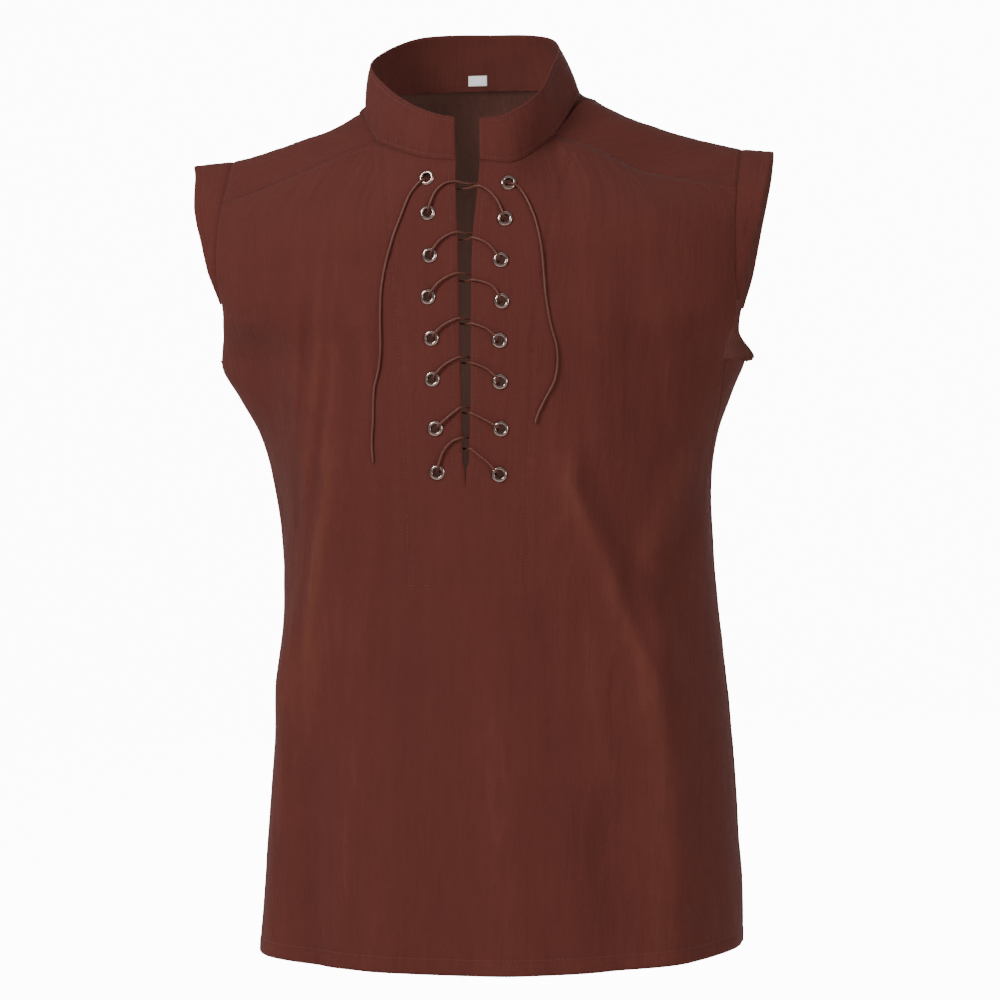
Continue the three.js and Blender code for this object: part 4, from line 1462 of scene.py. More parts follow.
@dataclass
class Lacing:
    """The round cord that crosses the slit through the eyelets and hangs free at both top ends."""

    front: BodyPanel
    radius: float = LACE_RADIUS
    on_cloth: float = 1.35
    under_cloth: float = -2.9
    sides: int = 14

    def eyelet(self, side: Side, pair: int) -> Array:
        """Returns the x and z of an eyelet."""
        row = EYELET_PAIRS[pair - 1]
        return np.array(row.left if side is Side.LEFT else row.right, float)

    def lift(self, places: list[Triple]) -> Array:
        """Returns points at x and z on the front, each raised by its own height.

        Args:
            places: The x, the z and the height of each point.

        Returns:
            The raised points.
        """
        laid = []
        for x, z, height in places:
            point, normal = self.front.place(x, z)
            laid.append(point + normal * height)
        return np.array(laid)

    def _crossing(self, side: Side, pair: int) -> tuple[Array, Array]:
        """Returns where a strand drops through the slit, and the bend on its way there.

        Args:
            side: The side of the garment.
            pair: The number of the pair, from the top.

        Returns:
            The place in the slit and the bend.
        """
        row = EYELET_PAIRS[pair - 1]
        left = side is Side.LEFT
        z = row.slit_left if left else row.slit_right
        eyelet, slit = self.eyelet(side, pair), np.array([float(slit_centre(z)), z])
        return slit, eyelet + (slit - eyelet) * np.array(row.bend_left if left else row.bend_right, float)

    def _under(self, eyelet: Array, origin: Array) -> list[Triple]:
        """Returns the way beneath the cloth up to an eyelet."""
        return [(*toward(eyelet, origin, 7.5), -3.75), (*toward(eyelet, origin, 4.1), -4.15),
                (*toward(eyelet, origin, 2.1), -3.3)]

    def _over(self, eyelet: Array, target: Array) -> list[Triple]:
        """Returns the way out of an eyelet over its rim."""
        return [(*toward(eyelet, target, 3.2), 2.05), (*toward(eyelet, target, 4.8), 2.5),
                (*toward(eyelet, target, 7.2), 2.2)]

    def _strand(self, side: Side, pair: int) -> list[Triple]:
        """Returns one strand over its own front, through the slit and beneath the other front.

        Args:
            side: The side of the garment.
            pair: The number of the pair, from the top.

        Returns:
            The x, the z and the height of each point on the way.
        """
        eyelet = self.eyelet(side, pair)
        slit, bend = self._crossing(side, pair)
        half = float(slit_half(slit[1])) + 0.5
        edge = np.array([slit[0] + side.sign * half, slit[1]])
        far = (slit[0] - side.sign * half, slit[1] + 0.8)
        start = toward(eyelet, bend, 7.2)

        def arc(t: float) -> Array:
            """Returns a place on the bow from the eyelet to the slit."""
            return (1 - t) ** 2 * start + 2 * t * (1 - t) * bend + t * t * edge

        return [(*arc(0.4), 1.7), (*arc(0.75), 1.5), (*edge, 0.9), (*slit, -5), (*far, -7.5)]

    def half(self, first: Side) -> Array:
        """Returns the way of one half, from the bar between the lowest eyelets to a top eyelet.

        Args:
            first: The side of its first eyelet.

        Returns:
            The points on the way.
        """
        lowest = len(EYELET_PAIRS)
        bar = (self.eyelet(Side.LEFT, lowest) + self.eyelet(Side.RIGHT, lowest)) / 2
        side, origin = first, bar
        places = [(bar[0] + side.sign * 0.2, bar[1], -3.1)]
        for pair in range(lowest, 1, -1):
            eyelet = self.eyelet(side, pair)
            target = self._crossing(side, pair)[1]
            places += self._under(eyelet, origin)
            places.append((*toward(eyelet, target, 2.2), 0.8))
            places += self._over(eyelet, target)
            places += self._strand(side, pair)
            origin = np.array(places[-1][:2])
            side = side.other
            following = self.eyelet(side, pair - 1)
            places.append((*(origin + (following - origin) * 0.4), self.under_cloth))
        eyelet = self.eyelet(side, 1)
        leaving = np.array(TAIL_LINES[side][0])
        places += self._under(eyelet, origin)
        places.append((*toward(eyelet, leaving, 0.6), -1.7))
        places.append((*toward(eyelet, leaving, 1.7), -0.7))
        return self.lift(places)

    def tail(self, side: Side) -> Array:
        """Returns the way of one free end, from its eyelet to the cut.

        Args:
            side: The side of the garment.

        Returns:
            The points on the way.
        """
        eyelet = self.eyelet(side, 1)
        line = TAIL_LINES[side]
        leaving = np.array(line[0])
        places = [(*toward(eyelet, leaving, 2.0), 0.0), (*toward(eyelet, leaving, 2.3), 1.1)]
        places += self._over(eyelet, leaving)
        curve = curve_at([(x, z, 0.0) for x, z in line], np.arange(1, 27) / 26)
        places += [(x, z, self.on_cloth) for x, z, _ in curve]
        return self.lift(places)

    def tube(self, name: str, way: Array) -> tuple[bpy.types.Object, Array]:
        """Sweeps the round cord along a way.

        Args:
            name: Name of the object.
            way: The points the cord goes through.

        Returns:
            The cord, and its centreline in millimetres.
        """
        centre = smooth_path(way, 0.8)
        tangent = unit(np.gradient(centre, axis=0))
        across = np.zeros_like(centre)
        guide = np.array([0.0, -1.0, 0.0])
        for i, ahead in enumerate(tangent):
            guide = unit(guide - ahead * float(guide @ ahead))
            across[i] = guide
        side = np.cross(tangent, across)
        reach = reach_along(centre)
        turn = np.arange(self.sides + 1) * 2 * math.pi / self.sides
        girth = np.full(len(centre), self.radius)
        girth[0] = girth[-1] = self.radius * 0.72
        ring = (across[:, None] * np.cos(turn)[None, :, None] + side[:, None] * np.sin(turn)[None, :, None])
        strands = 1 - 0.07 * np.abs(np.sin(1.5 * turn[None, :] + reach[:, None] * 1.9))
        points = centre[:, None] + ring * (girth[:, None] * strands)[..., None]
        rings, sides = len(centre), self.sides + 1
        number = np.arange(rings * sides).reshape(rings, sides)
        faces = grid_faces(number)[:, [0, 3, 2, 1]]
        first, last = number[0], number[-1]
        fan = range(1, self.sides - 1)
        start_cap = [[first[0], first[k + 1], first[k], first[k]] for k in fan]
        end_cap = [[last[0], last[k], last[k + 1], last[k + 1]] for k in fan]
        faces = np.concatenate([faces, np.array(start_cap + end_cap)])
        flat = np.stack(np.broadcast_arrays(turn[None, :] / (2 * math.pi), reach[:, None] * MM), axis=-1)
        return build_object(name, points.reshape(-1, 3), faces, flat.reshape(-1, 2), None, 70), centre


@dataclass(frozen=True)
class EyeletSet:
    """The sixteen two-part metal eyelets in the front."""

    front: BodyPanel
    facets: int = 48

    def build(self) -> dict[str, bpy.types.Object]:
        """Returns the eyelets by the names of their places.

        Returns:
            Each eyelet by its name.
        """
        profile = np.array(EYELET_RINGS)
        turn = np.arange(self.facets) * 2 * math.pi / self.facets
        points = np.stack([
            profile[:, None, 0] * np.cos(turn), profile[:, None, 0] * np.sin(turn),
            np.broadcast_to(profile[:, None, 1], (len(profile), self.facets)),
        ], axis=-1)
        rings = len(profile)
        number = np.arange(rings * self.facets).reshape(rings, self.facets)
        ahead, above = np.roll(number, -1, axis=1), np.roll(number, -1, axis=0)
        both = np.roll(above, -1, axis=1)
        faces = np.stack([number, above, both, ahead], axis=-1).reshape(-1, 4)
        flat = np.zeros((rings * self.facets, 2))
        flat[:, 0] = np.tile(turn / (2 * math.pi), rings)
        flat[:, 1] = np.repeat(np.arange(rings) / rings, self.facets)
        made = {}
        for pair, row in enumerate(EYELET_PAIRS, start=1):
            for side, x, z in ((Side.LEFT, *row.left), (Side.RIGHT, *row.right)):
                point, normal = self.front.place(x, z)
                name = f"eyelet_{side.value}_{pair}"
                matrix = np.array(Vector(normal).to_track_quat("Z", "Y").to_matrix())
                placed = points.reshape(-1, 3) @ matrix.T + point
                made[name] = build_object(f"{name}_rolled", placed, faces, flat, None, 40)
        return made


class NodeSketch:
    """Adds and links nodes in one tree."""

    def __init__(self, tree: bpy.types.NodeTree) -> None:
        """Keeps the tree."""
        self.tree = tree

    def add(self, kind: str, inputs: dict | None = None, **values: object) -> bpy.types.Node:
        """Adds a node.

        Args:
            kind: The node's type name; "ShaderNode" is put before it unless it begins with "Node".
            inputs: Values or sockets for its inputs, by name or number.
            **values: Its own settings.

        Returns:
            The node.
        """
        node = self.tree.nodes.new(kind if kind.startswith("Node") else "ShaderNode" + kind)
        for key, value in values.items():
            setattr(node, key, value)
        for key, value in (inputs or {}).items():
            self.feed(node.inputs[key], value)
        return node

    def feed(self, socket: Socket, value: object) -> None:
        """Links an input to another socket, or sets it to a value.

        Args:
            socket: The input.
            value: The other socket or the value.
        """
        if isinstance(value, Socket):
            self.tree.links.new(value, socket)
        else:
            socket.default_value = value

    def math(self, operation: str, *values: object) -> Socket:
        """Returns the result of one sum on values or sockets."""
        return self.add("Math", dict(enumerate(values)), operation=operation).outputs[0]

    def mixed(self, share: object, first: object, second: object) -> Socket:
        """Returns a mix of two colours.

        Args:
            share: How much of the second colour.
            first: The first colour.
            second: The second colour.

        Returns:
            The mixed colour.
        """
        node = self.add("Mix", data_type="RGBA")
        for number, value in ((0, share), (6, first), (7, second)):
            self.feed(node.inputs[number], value)
        return node.outputs[2]


def new_group(name: str, inputs: dict[str, tuple[str, object]], outputs: dict[str, str]) -> tuple:
    """Starts a shader node group with named sockets.

    Args:
        name: The group's name.
        inputs: For each input, its kind and first value.
        outputs: For each output, its kind.

    Returns:
        The tree, its sketch, its input node and its output node.
    """
    tree = bpy.data.node_groups.new(name, "ShaderNodeTree")
    for label, (kind, value) in inputs.items():
        socket = tree.interface.new_socket(label, in_out="INPUT", socket_type=kind)
        socket.default_value = value
    for label, kind in outputs.items():
        tree.interface.new_socket(label, in_out="OUTPUT", socket_type=kind)
    sketch = NodeSketch(tree)
    return tree, sketch, sketch.add("NodeGroupInput"), sketch.add("NodeGroupOutput")


def plain_weave_group() -> bpy.types.NodeTree:
    """Builds the weave: over-and-under threads of uneven thickness, from the flat cloth's metres.

    Returns:
        The group.
    """
    tree, sketch, given, result = new_group(
        "plain_weave",
        {"Cloth": ("NodeSocketVector", (0, 0, 0)), "Thread": ("NodeSocketFloat", 0.00062)},
        {"Height": "NodeSocketFloat", "Slub": "NodeSocketFloat"})
    split = sketch.add("SeparateXYZ", {0: given.outputs["Cloth"]})
    x = sketch.math("DIVIDE", split.outputs[0], given.outputs["Thread"])
    y = sketch.math("DIVIDE", split.outputs[1], given.outputs["Thread"])
    wobble = sketch.add("TexNoise", {"Vector": given.outputs["Cloth"], "Scale": 260.0, "Detail": 1.0})
    sway = sketch.math("MULTIPLY_ADD", wobble.outputs[0], 1.6, -0.8)
    warp = sketch.math("ABSOLUTE", sketch.math("SINE", sketch.math(
        "MULTIPLY", sketch.math("ADD", x, sway), math.pi)))
    weft = sketch.math("ABSOLUTE", sketch.math("SINE", sketch.math(
        "MULTIPLY", sketch.math("SUBTRACT", y, sway), math.pi)))
    stretched = sketch.add("Mapping", {"Vector": given.outputs["Cloth"], "Scale": (1500, 90, 1)})
    slub = sketch.add("TexNoise", {"Vector": stretched.outputs[0], "Scale": 1.0, "Detail": 1.0})
    crossed = sketch.add("Mapping", {"Vector": given.outputs["Cloth"], "Scale": (90, 1500, 1)})
    slub_across = sketch.add("TexNoise", {"Vector": crossed.outputs[0], "Scale": 1.0, "Detail": 1.0})
    both = sketch.math("ADD", sketch.math("MULTIPLY", warp, slub.outputs[0]),
                       sketch.math("MULTIPLY", weft, slub_across.outputs[0]))
    sketch.tree.links.new(both, result.inputs["Height"])
    sketch.tree.links.new(sketch.math("MULTIPLY", sketch.math(
        "ADD", slub.outputs[0], slub_across.outputs[0]), 0.5), result.inputs["Slub"])
    return tree


def washed_wrinkle_group() -> bpy.types.NodeTree:
    """Builds the fine lengthwise wrinkles of washed cotton, from the flat cloth's metres.

    Returns:
        The group.
    """
    tree, sketch, given, result = new_group(
        "washed_wrinkle", {"Cloth": ("NodeSocketVector", (0, 0, 0))},
        {"Height": "NodeSocketFloat", "Wear": "NodeSocketFloat"})
    layers = []
    for scale, detail in (((150, 17, 1), 2.0), ((420, 60, 1), 1.0), ((60, 260, 1), 1.0)):
        stretched = sketch.add("Mapping", {"Vector": given.outputs["Cloth"], "Scale": scale})
        noise = sketch.add("TexNoise", {"Vector": stretched.outputs[0], "Scale": 1.0, "Detail": detail,
                                        "Distortion": 0.6})
        layers.append(noise.outputs[0])
    part = sketch.math("MULTIPLY_ADD", layers[2], 0.22, layers[0])
    total = sketch.math("MULTIPLY_ADD", layers[1], 0.35, part)
    sketch.tree.links.new(total, result.inputs["Height"])
    patches = sketch.add("TexNoise", {"Vector": given.outputs["Cloth"], "Scale": 14.0, "Detail": 3.0})
    sketch.tree.links.new(patches.outputs[0], result.inputs["Wear"])
    return tree


def tint(code: str) -> Colour:
    """Returns a colour for the shader from a six-figure web code.

    Args:
        code: The six figures.

    Returns:
        The linear colour.
    """
    parts = [int(code[i:i + 2], 16) / 255 for i in (0, 2, 4)]
    linear = [p / 12.92 if p <= 0.04045 else ((p + 0.055) / 1.055) ** 2.4 for p in parts]
    return (*linear, 1.0)


@dataclass
class MaterialStart:
    """A new material with its sketch, its shader and its place on the flat cloth."""

    name: str

    def __post_init__(self) -> None:
        """Makes the material and its first nodes."""
        self.material = bpy.data.materials.new(self.name)
        self.material.use_nodes = True
        tree = self.material.node_tree
        tree.nodes.clear()
        self.sketch = NodeSketch(tree)
        self.shader = self.sketch.add("BsdfPrincipled")
        out = self.sketch.add("OutputMaterial")
        tree.links.new(self.shader.outputs[0], out.inputs["Surface"])
        self.cloth = self.sketch.add("UVMap", uv_map="flat").outputs[0]

    def group(self, tree: bpy.types.NodeTree, inputs: dict[str, object]) -> bpy.types.Node:
        """Adds a group node with its inputs.

        Args:
            tree: The group.
            inputs: Values or sockets for its inputs, by name.

        Returns:
            The node.
        """
        node = self.sketch.add("Group", node_tree=tree)
        for key, value in inputs.items():
            self.sketch.feed(node.inputs[key], value)
        return node

    def bumped(self, height: Socket, distance: float, strength: float,
               below: Socket | None = None) -> Socket:
        """Adds a bump in metres, over an earlier one if given, and returns its direction.

        Args:
            height: The height.
            distance: The height of the bump, in metres.
            strength: Its strength, from 0 to 1.
            below: The direction of an earlier bump.

        Returns:
            The new direction.
        """
        node = self.sketch.add("Bump", {"Height": height, "Distance": distance, "Strength": strength})
        if below is not None:
            self.sketch.tree.links.new(below, node.inputs["Normal"])
        return node.outputs[0]

    def set(self, **values: object) -> None:
        """Sets or links the shader's own sockets, named with underscores for spaces."""
        for key, value in values.items():
            self.sketch.feed(self.shader.inputs[key.replace("_", " ")], value)


@dataclass(frozen=True)
class CottonFinish:
    """Dyed crinkled cotton, with painted shade in its troughs and painted highlight on its ridges."""

    name: str
    trough: str
    middle: str
    ridge: str
    thread: float = 0.00062
    weave_depth: float = 0.00016
    wrinkle_depth: float = 0.0011
    sheen: float = 0.03

    def make(self, weave: bpy.types.NodeTree, wrinkle: bpy.types.NodeTree) -> bpy.types.Material:
        """Returns the material.

        Args:
            weave: The group that draws the threads.
            wrinkle: The group that draws the wrinkles.

        Returns:
            The material.
        """
        start = MaterialStart(self.name)
        sketch = start.sketch
        threads = start.group(weave, {"Cloth": start.cloth, "Thread": self.thread})
        creased = start.group(wrinkle, {"Cloth": start.cloth})
        # The point attribute and the wrinkle height paint shade into the cloth's hollows and highlight onto
        # its rises; the wear patches are random tone.
        painted_relief_shade = sketch.add("Attribute", attribute_name="painted_relief_shade", attribute_type="GEOMETRY").outputs["Fac"]
        proud = sketch.math("MULTIPLY_ADD", painted_relief_shade, 0.8, sketch.math(
            "MULTIPLY_ADD", creased.outputs["Height"], 0.35, -0.27))
        relief_shade_and_patches = sketch.math("MULTIPLY_ADD", creased.outputs["Wear"], 0.3, sketch.math(
            "SUBTRACT", proud, 0.15))
        ramp = sketch.add("ValToRGB", {0: relief_shade_and_patches})
        ramp.color_ramp.elements[0].position = 0.15
        ramp.color_ramp.elements[0].color = tint(self.trough)
        ramp.color_ramp.elements[1].position = 0.85
        ramp.color_ramp.elements[1].color = tint(self.ridge)
        ramp.color_ramp.elements.new(0.5).color = tint(self.middle)
        grain = sketch.math("MULTIPLY", threads.outputs["Slub"], 0.6)
        colour = sketch.mixed(grain, ramp.outputs[0], tint(self.trough))
        woven = start.bumped(threads.outputs["Height"], self.weave_depth, 0.45)
        folded = start.bumped(creased.outputs["Height"], self.wrinkle_depth, 0.5, woven)
        rough = sketch.math("MULTIPLY_ADD", threads.outputs["Slub"], 0.14, 0.78)
        start.set(Base_Color=colour, Roughness=rough, Normal=folded, Sheen_Weight=self.sheen,
                  Sheen_Roughness=0.45, Specular_IOR_Level=0.1)
        return start.material


@dataclass(frozen=True)
class ThreadFinish:
    """Spun sewing thread with its twist, painted darker in the grooves of the ply as painted shade."""

    name: str
    colour: str
    dark: str
    twist: float = 9000.0
    depth: float = 0.00006

    def make(self) -> bpy.types.Material:
        """Returns the material.

        Returns:
            The material.
        """
        start = MaterialStart(self.name)
        sketch = start.sketch
        split = sketch.add("SeparateXYZ", {0: start.cloth})
        ply = sketch.math("SINE", sketch.math("MULTIPLY", sketch.math(
            "ADD", split.outputs[0], split.outputs[1]), self.twist))
        # The ply's grooves get painted shade.
        share = sketch.math("MULTIPLY_ADD", ply, 0.5, 0.5)
        start.set(Base_Color=sketch.mixed(share, tint(self.dark), tint(self.colour)), Roughness=0.7,
                  Normal=start.bumped(share, self.depth, 0.6), Sheen_Weight=0.15)
        return start.material


@dataclass(frozen=True)
class LaceFinish:
    """Round twisted cord, matt, with its strands laid in a spiral; its colour is paler on the strands' crowns
    and darker in the grooves, painted highlight and painted shade, over real fibre tone.
    """

    name: str
    dark: str
    pale: str
    lay: float = 0.0034
    strands: float = 3.0
    depth: float = 0.00028

    def make(self) -> bpy.types.Material:
        """Returns the material.

        Returns:
            The material.
        """
        start = MaterialStart(self.name)
        sketch = start.sketch
        split = sketch.add("SeparateXYZ", {0: start.cloth})
        along = sketch.math("DIVIDE", split.outputs[1], self.lay)
        spiral = sketch.math("ADD", sketch.math("MULTIPLY", split.outputs[0], self.strands), along)
        strand = sketch.math("ABSOLUTE", sketch.math("SINE", sketch.math("MULTIPLY", spiral, math.pi)))
        fibre = sketch.add("TexNoise", {"Vector": sketch.add("Mapping", {
            "Vector": start.cloth, "Scale": (26, 900, 1)}).outputs[0], "Scale": 1.0, "Detail": 2.0})
        # Painted shade in the grooves between the strands and painted highlight on their crowns, mixed with
        # the fibres' own tone.
        share = sketch.math("MULTIPLY_ADD", fibre.outputs[0], 0.5, sketch.math("MULTIPLY", strand, 0.55))
        start.set(Base_Color=sketch.mixed(share, tint(self.dark), tint(self.pale)), Roughness=0.52,
                  Normal=start.bumped(share, self.depth, 0.8), Sheen_Weight=0.06, Sheen_Roughness=0.4)
        return start.material


@dataclass(frozen=True)
class MetalFinish:
    """Bright plated brass with fine rub marks round the rim; its darkened red-brown tint is a painted
    reflection of the cloth round it.
    """

    name: str
    bright: str
    dull: str
    polish: float = 0.06
    scuff: float = 0.18

    def make(self) -> bpy.types.Material:
        """Returns the material.

        Returns:
            The material.
        """
        start = MaterialStart(self.name)
        sketch = start.sketch
        stretched = sketch.add("Mapping", {"Vector": start.cloth, "Scale": (9, 160, 1)})
        rub = sketch.add("TexNoise", {"Vector": stretched.outputs[0], "Scale": 1.0, "Detail": 3.0})
        start.set(Base_Color=sketch.mixed(rub.outputs[0], tint(self.bright), tint(self.dull)), Metallic=1.0,
                  Roughness=sketch.math("MULTIPLY_ADD", rub.outputs[0], self.scuff, self.polish),
                  Normal=start.bumped(rub.outputs[0], 0.00005, 0.25))
        return start.material


@dataclass(frozen=True)
class TapeFinish:
    """White satin tape with fine ribs and two faint woven edges."""

    name: str
    white: str
    shade: str
    ribs: float = 9500.0
    middle: float = 0.00425
    edge_from: float = 0.0036

    def make(self) -> bpy.types.Material:
        """Returns the material.

        Returns:
            The material.
        """
        start = MaterialStart(self.name)
        sketch = start.sketch
        split = sketch.add("SeparateXYZ", {0: start.cloth})
        turns = sketch.math("MULTIPLY", split.outputs[0], self.ribs)
        rib = sketch.math("ABSOLUTE", sketch.math("SINE", turns))
        edge = sketch.math("ABSOLUTE", sketch.math("SUBTRACT", split.outputs[1], self.middle))
        woven = sketch.math("MULTIPLY", sketch.math("GREATER_THAN", edge, self.edge_from), 0.55)
        share = sketch.math("MULTIPLY_ADD", rib, 0.2, woven)
        start.set(Base_Color=sketch.mixed(share, tint(self.white), tint(self.shade)), Roughness=0.5,
                  Normal=start.bumped(rib, 0.00007, 0.5), Sheen_Weight=0.2)
        return start.material


@dataclass(frozen=True)
class Lamp:
    """One soft lamp, with its place, what it points at, its width and height, and its power in watts."""

    name: str
    place: Triple
    aim: Triple
    wide: float
    tall: float
    power: float
    colour: Triple = (1.0, 1.0, 1.0)

    def hang(self) -> None:
        """Adds the lamp to the scene."""
        data = bpy.data.lights.new(self.name, "AREA")
        data.shape = "RECTANGLE"
        data.size = self.wide
        data.size_y = self.tall
        data.energy = self.power
        data.color = self.colour
        made = bpy.data.objects.new(self.name, data)
        made.location = self.place
        made.rotation_mode = "QUATERNION"
        made.rotation_quaternion = (Vector(self.aim) - Vector(self.place)).to_track_quat("-Z", "Y")
        made.visible_camera = False
        bpy.context.scene.collection.objects.link(made)


LAMPS = (
    Lamp("key", (-1.75, -2.0, 1.35), (0, 0, 0.05), 0.9, 0.9, 93),
    Lamp("fill", (2.6, -1.9, 0.3), (0, 0, -0.2), 1.2, 1.2, 36),
    Lamp("top", (0, -0.4, 2.2), (0, 0, 0), 1.2, 1.2, 3),
    Lamp("rear", (-0.2, 3.1, 0.5), (0, 0, -0.3), 1.6, 1.6, 45),
    Lamp("hollow", (0, -0.05, -0.21), (0, 0.3, -0.21), 0.05, 0.3, 0.32, (0.7, 1.0, 1.0)),
    Lamp("sleeve", (0.06, -0.03, -0.18), (0.21, 0.0, -0.2), 0.06, 0.06, 0.2, (1.0, 0.86, 0.9)),
)


@dataclass(frozen=True)
class Studio:
    """The camera, the soft light and the pale backdrop."""

    turn: float = 9.0
    distance: float = 2.6
    height: float = -0.33
    shift: float = 0.009
    lens: float = 114.156
    floor: float = -1.1
    sky: float = 0.38
    glow: float = 12.0

    def camera(self) -> None:
        """Places the camera at the picture's angle."""
        data = bpy.data.cameras.new("picture_camera")
        data.lens, data.sensor_width = self.lens, 36.0
        data.clip_start, data.clip_end = 0.05, 60.0
        made = bpy.data.objects.new("picture_camera", data)
        angle = math.radians(self.turn)
        right = Vector((math.cos(angle), math.sin(angle), 0))
        away = Vector((math.sin(angle), -math.cos(angle), 0))
        made.location = away * self.distance + right * self.shift + Vector((0, 0, self.height))
        made.rotation_euler = (math.pi / 2, 0, angle)
        bpy.context.scene.collection.objects.link(made)
        bpy.context.scene.camera = made

    def light(self) -> None:
        """Adds the lamps and the even sky."""
        for lamp in LAMPS:
            lamp.hang()
        world = bpy.data.worlds.new("studio_sky")
        bpy.context.scene.world = world
        world.use_nodes = True
        tree = world.node_tree
        sky = tree.nodes["Background"]
        sky.inputs[0].default_value = (1, 1, 1, 1)
        seen = tree.nodes.new("ShaderNodeLightPath").outputs["Is Camera Ray"]
        strength = tree.nodes.new("ShaderNodeMath")
        strength.operation = "MULTIPLY_ADD"
        strength.inputs[1].default_value = self.glow
        strength.inputs[2].default_value = self.sky
        tree.links.new(seen, strength.inputs[0])
        tree.links.new(strength.outputs[0], sky.inputs[1])

    def backdrop(self) -> None:
        """Adds the pale floor that sweeps up into the wall."""
        radius, depth, wall, half, near = 1.6, 2.4, 6.0, 20.0, -24.0
        across = 5
        bend = np.linspace(0, math.pi / 2, 33)
        line = [(near, self.floor)]
        line += [(depth + radius * math.sin(a), self.floor + radius * (1 - math.cos(a))) for a in bend]
        line.append((depth + radius, self.floor + wall))
        points = np.array([(x, y, z) for x in np.linspace(-half, half, across) for y, z in line]) / MM
        faces = grid_faces(np.arange(len(points)).reshape(across, len(line)))
        made = build_object("paper_sweep", points, faces, points[:, :2] * MM)
        start = MaterialStart("pale_paper")
        grain = start.sketch.add("TexNoise", {"Vector": start.cloth, "Scale": 180.0, "Detail": 2.0})
        path = start.sketch.add("LightPath")
        seen = start.sketch.math("MULTIPLY", path.outputs["Is Camera Ray"], self.glow)
        paper = start.sketch.mixed(grain.outputs[0], tint("f4f3f1"), tint("f9f8f7"))
        start.set(Base_Color=paper, Roughness=0.9, Normal=start.bumped(grain.outputs[0], 0.0002, 0.1),
                  Emission_Color=(1, 1, 1, 1), Emission_Strength=seen)
        made.data.materials.append(start.material)


@dataclass
class Tunic:
    """The whole garment, built piece by piece."""

    front: BodyPanel = field(init=False)
    back: BodyPanel = field(init=False)

    def __post_init__(self) -> None:
        """Lays out the two body panels."""
        face = PanelSurface(Face.FRONT, FRONT_FOLDS, 0.3)
        rear = PanelSurface(Face.BACK, BACK_FOLDS, 0.45)
        edge = ShoulderEdge(face, rear)
        seams = tuple(SeamLine(line) for line in (*FACING_LINE.values(), FACING_END))
        front_rows = rows_between((0, 0), (SLIT_AT, 122), (FRONT_TOP_AT, 84))
        back_rows = rows_between((0, 0), (SLIT_AT, 112), (BACK_RIDGE_AT, 88), (BACK_TOP_AT, 14))
        self.front = BodyPanel(face, edge, Crinkle(11), 34, 64, front_rows, FRONT_CREASES, seams)
        self.back = BodyPanel(rear, edge, Crinkle(29), 36, 46, back_rows, BACK_CREASES)
        self.front.lay()
        self.back.lay()

    def front_skin(self) -> Skin:
        """Returns the skin of the front with its eyelet holes.

        Returns:
            The skin.
        """
        skin = self.front.skin()
        for row in EYELET_PAIRS:
            for x, z in (row.left, row.right):
                skin.pierce(self.front.place(x, z)[0], EYELET_HOLE)
        return skin

    def front_stitches(self) -> list[Laid]:
        """Returns the lines of the hem, the facing, the armholes, the slit and the shoulder seams.

        Returns:
            For each row, its line and the directions out of the cloth.
        """
        panel, top = self.front, self.front.surface.top
        rows = panel.row_at(panel.hem_turn - 1)
        rows += [panel.drawn(line) for line in (*FACING_LINE.values(), FACING_END)]
        share = np.linspace(0.31, 0.99, 160)
        for side in Side:
            rows.append(panel.column_at(side, ARMHOLE_STITCH, ARMHOLE_STITCH_FROM, top - 4))
            rows.append(panel.column_at(side, SLIT_STITCH, SLIT_AT + 7, top - 6))
            rows.append(panel.sides[side].sample(share, np.full(len(share), top - 3.4)))
        return rows

    def back_stitches(self) -> list[Laid]:
        """Returns the lines of the hem and the armholes.

        Returns:
            For each row, its line and the directions out of the cloth.
        """
        panel = self.back
        rows = panel.row_at(panel.hem_turn - 1)
        for side in Side:
            rows.append(panel.column_at(side, ARMHOLE_STITCH, ARMHOLE_STITCH_FROM, panel.surface.top - 4))
        return rows


def settle(made: bpy.types.Object, materials: bpy.types.Material | tuple, slot: str, *nodes: str) -> None:
    """Gives a piece its materials and its place on the frame, and logs it.

    Args:
        made: The piece.
        materials: Its material, or those of its outside and its inside.
        slot: Not used.
        *nodes: The solids that it takes the place of.
    """
    for material in materials if isinstance(materials, tuple) else (materials,):
        made.data.materials.append(material)
    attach(made, "root")
    if nodes:
        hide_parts(*nodes)
    LOG.info("%s: %d faces", made.name, len(made.data.polygons))


def dress_cords(tunic: Tunic, lace: bpy.types.Material) -> None:
    """Args:
        tunic: The garment.
        lace: The material of the cord.
    """
    lacing = Lacing(tunic.front)
    first, second = lacing.half(Side.RIGHT), lacing.half(Side.LEFT)
    way = np.concatenate([first[::-1], second])
    made, centre = lacing.tube("lace_laced", way)
    settle(made, lace, "lace_cord", "lace_half_1", "lace_half_2")
    for side in Side:
        made, centre = lacing.tube(f"lace_end_{side.value}", lacing.tail(side))
        settle(made, lace, "lace_cord", f"lace_tail_{side.value}")
        LOG.info("free end %s is %.0f mm long", side.value, path_length(centre))


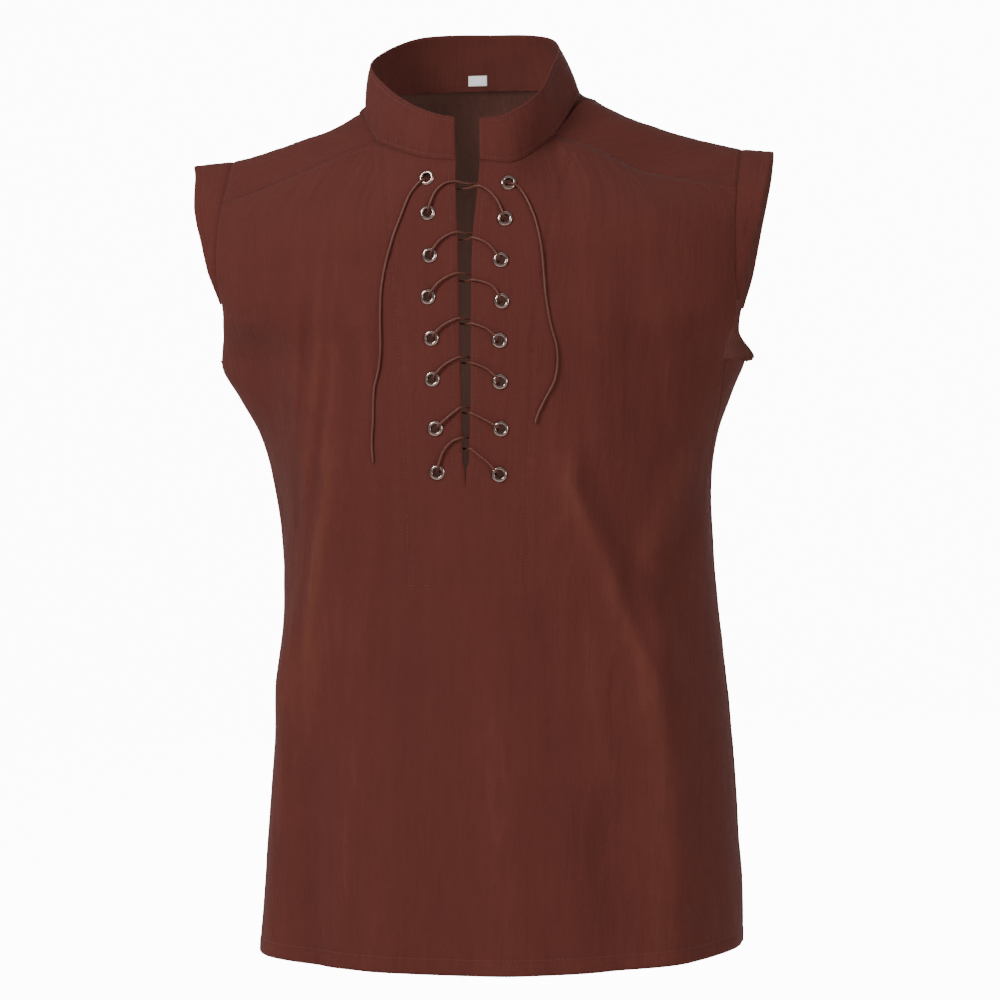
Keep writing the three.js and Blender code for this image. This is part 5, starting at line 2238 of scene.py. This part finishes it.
def main() -> None:
    """Builds the studio and the garment in order, and reports each piece."""
    logging.basicConfig(level=logging.INFO, format="%(message)s")
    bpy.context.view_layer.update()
    studio = Studio()
    studio.camera()
    weave, wrinkle = plain_weave_group(), washed_wrinkle_group()
    # The cotton's trough, middle and ridge colours carry painted shade and painted highlight that follow the
    # cloth's relief.
    cotton = (
        CottonFinish("rust_cotton", "4e2520", "562a24", "62342a").make(weave, wrinkle),
        # The inside is a paler copy of the cotton: painted light in the shaded hollow of the garment.
        CottonFinish("rust_cotton_inside_painted_light", "52302a", "5a372f", "633f36", sheen=0.0).make(weave, wrinkle),
    )
    thread = ThreadFinish("rust_thread", "5a2d26", "48211b").make()
    lace = LaceFinish("brown_lace", "2e0f09", "692f1b").make()
    # The metal's dark red-brown tint is a painted reflection of the cloth.
    metal = MetalFinish("plated_brass_painted_reflection", "b79f97", "69534c").make()
    tape = TapeFinish("white_tape", "f6f4f1", "d8d4cf").make()

    tunic = Tunic()
    dress_cords(tunic, lace)

    front = tunic.front_skin().shell("front_panel")
    settle(front, cotton, "cloth", "front")
    back = tunic.back.skin().shell("back_panel")
    settle(back, cotton, "cloth", "back")

    band = CollarBand(Crinkle(47))
    band.lay()
    collar = band.build()
    settle(collar, cotton[0], "cloth", "collar")
    tab = band.tab()
    settle(tab, tape, "label_tape", "size_label")

    cap_rows = []
    for side, area in ((Side.LEFT, 0.006), (Side.RIGHT, 0.0053)):
        cap, line = ShoulderCap(side, tunic.front, tunic.back, Crinkle(61)).build()
        settle(cap, cotton, "cloth", f"cap_{side.value}")
        cap_rows.append(line)

    for name, made in EyeletSet(tunic.front).build().items():
        settle(made, metal, "eyelet_metal", name)

    stitching = Stitching()
    settle(stitching.build("front_stitches", tunic.front_stitches()), thread, "cloth")
    settle(stitching.build("back_stitches", tunic.back_stitches()), thread, "cloth")
    settle(stitching.build("collar_stitches", band.stitch_rows()), thread, "cloth")
    settle(stitching.build("cap_stitches", cap_rows), thread, "cloth")

    studio.light()
    studio.backdrop()


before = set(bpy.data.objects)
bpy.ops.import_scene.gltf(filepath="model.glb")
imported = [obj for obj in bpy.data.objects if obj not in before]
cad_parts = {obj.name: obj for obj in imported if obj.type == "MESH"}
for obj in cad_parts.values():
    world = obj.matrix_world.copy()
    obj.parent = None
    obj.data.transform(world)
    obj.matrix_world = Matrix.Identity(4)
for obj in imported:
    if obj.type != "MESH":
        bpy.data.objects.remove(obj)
if __name__ == "__main__":
    main()
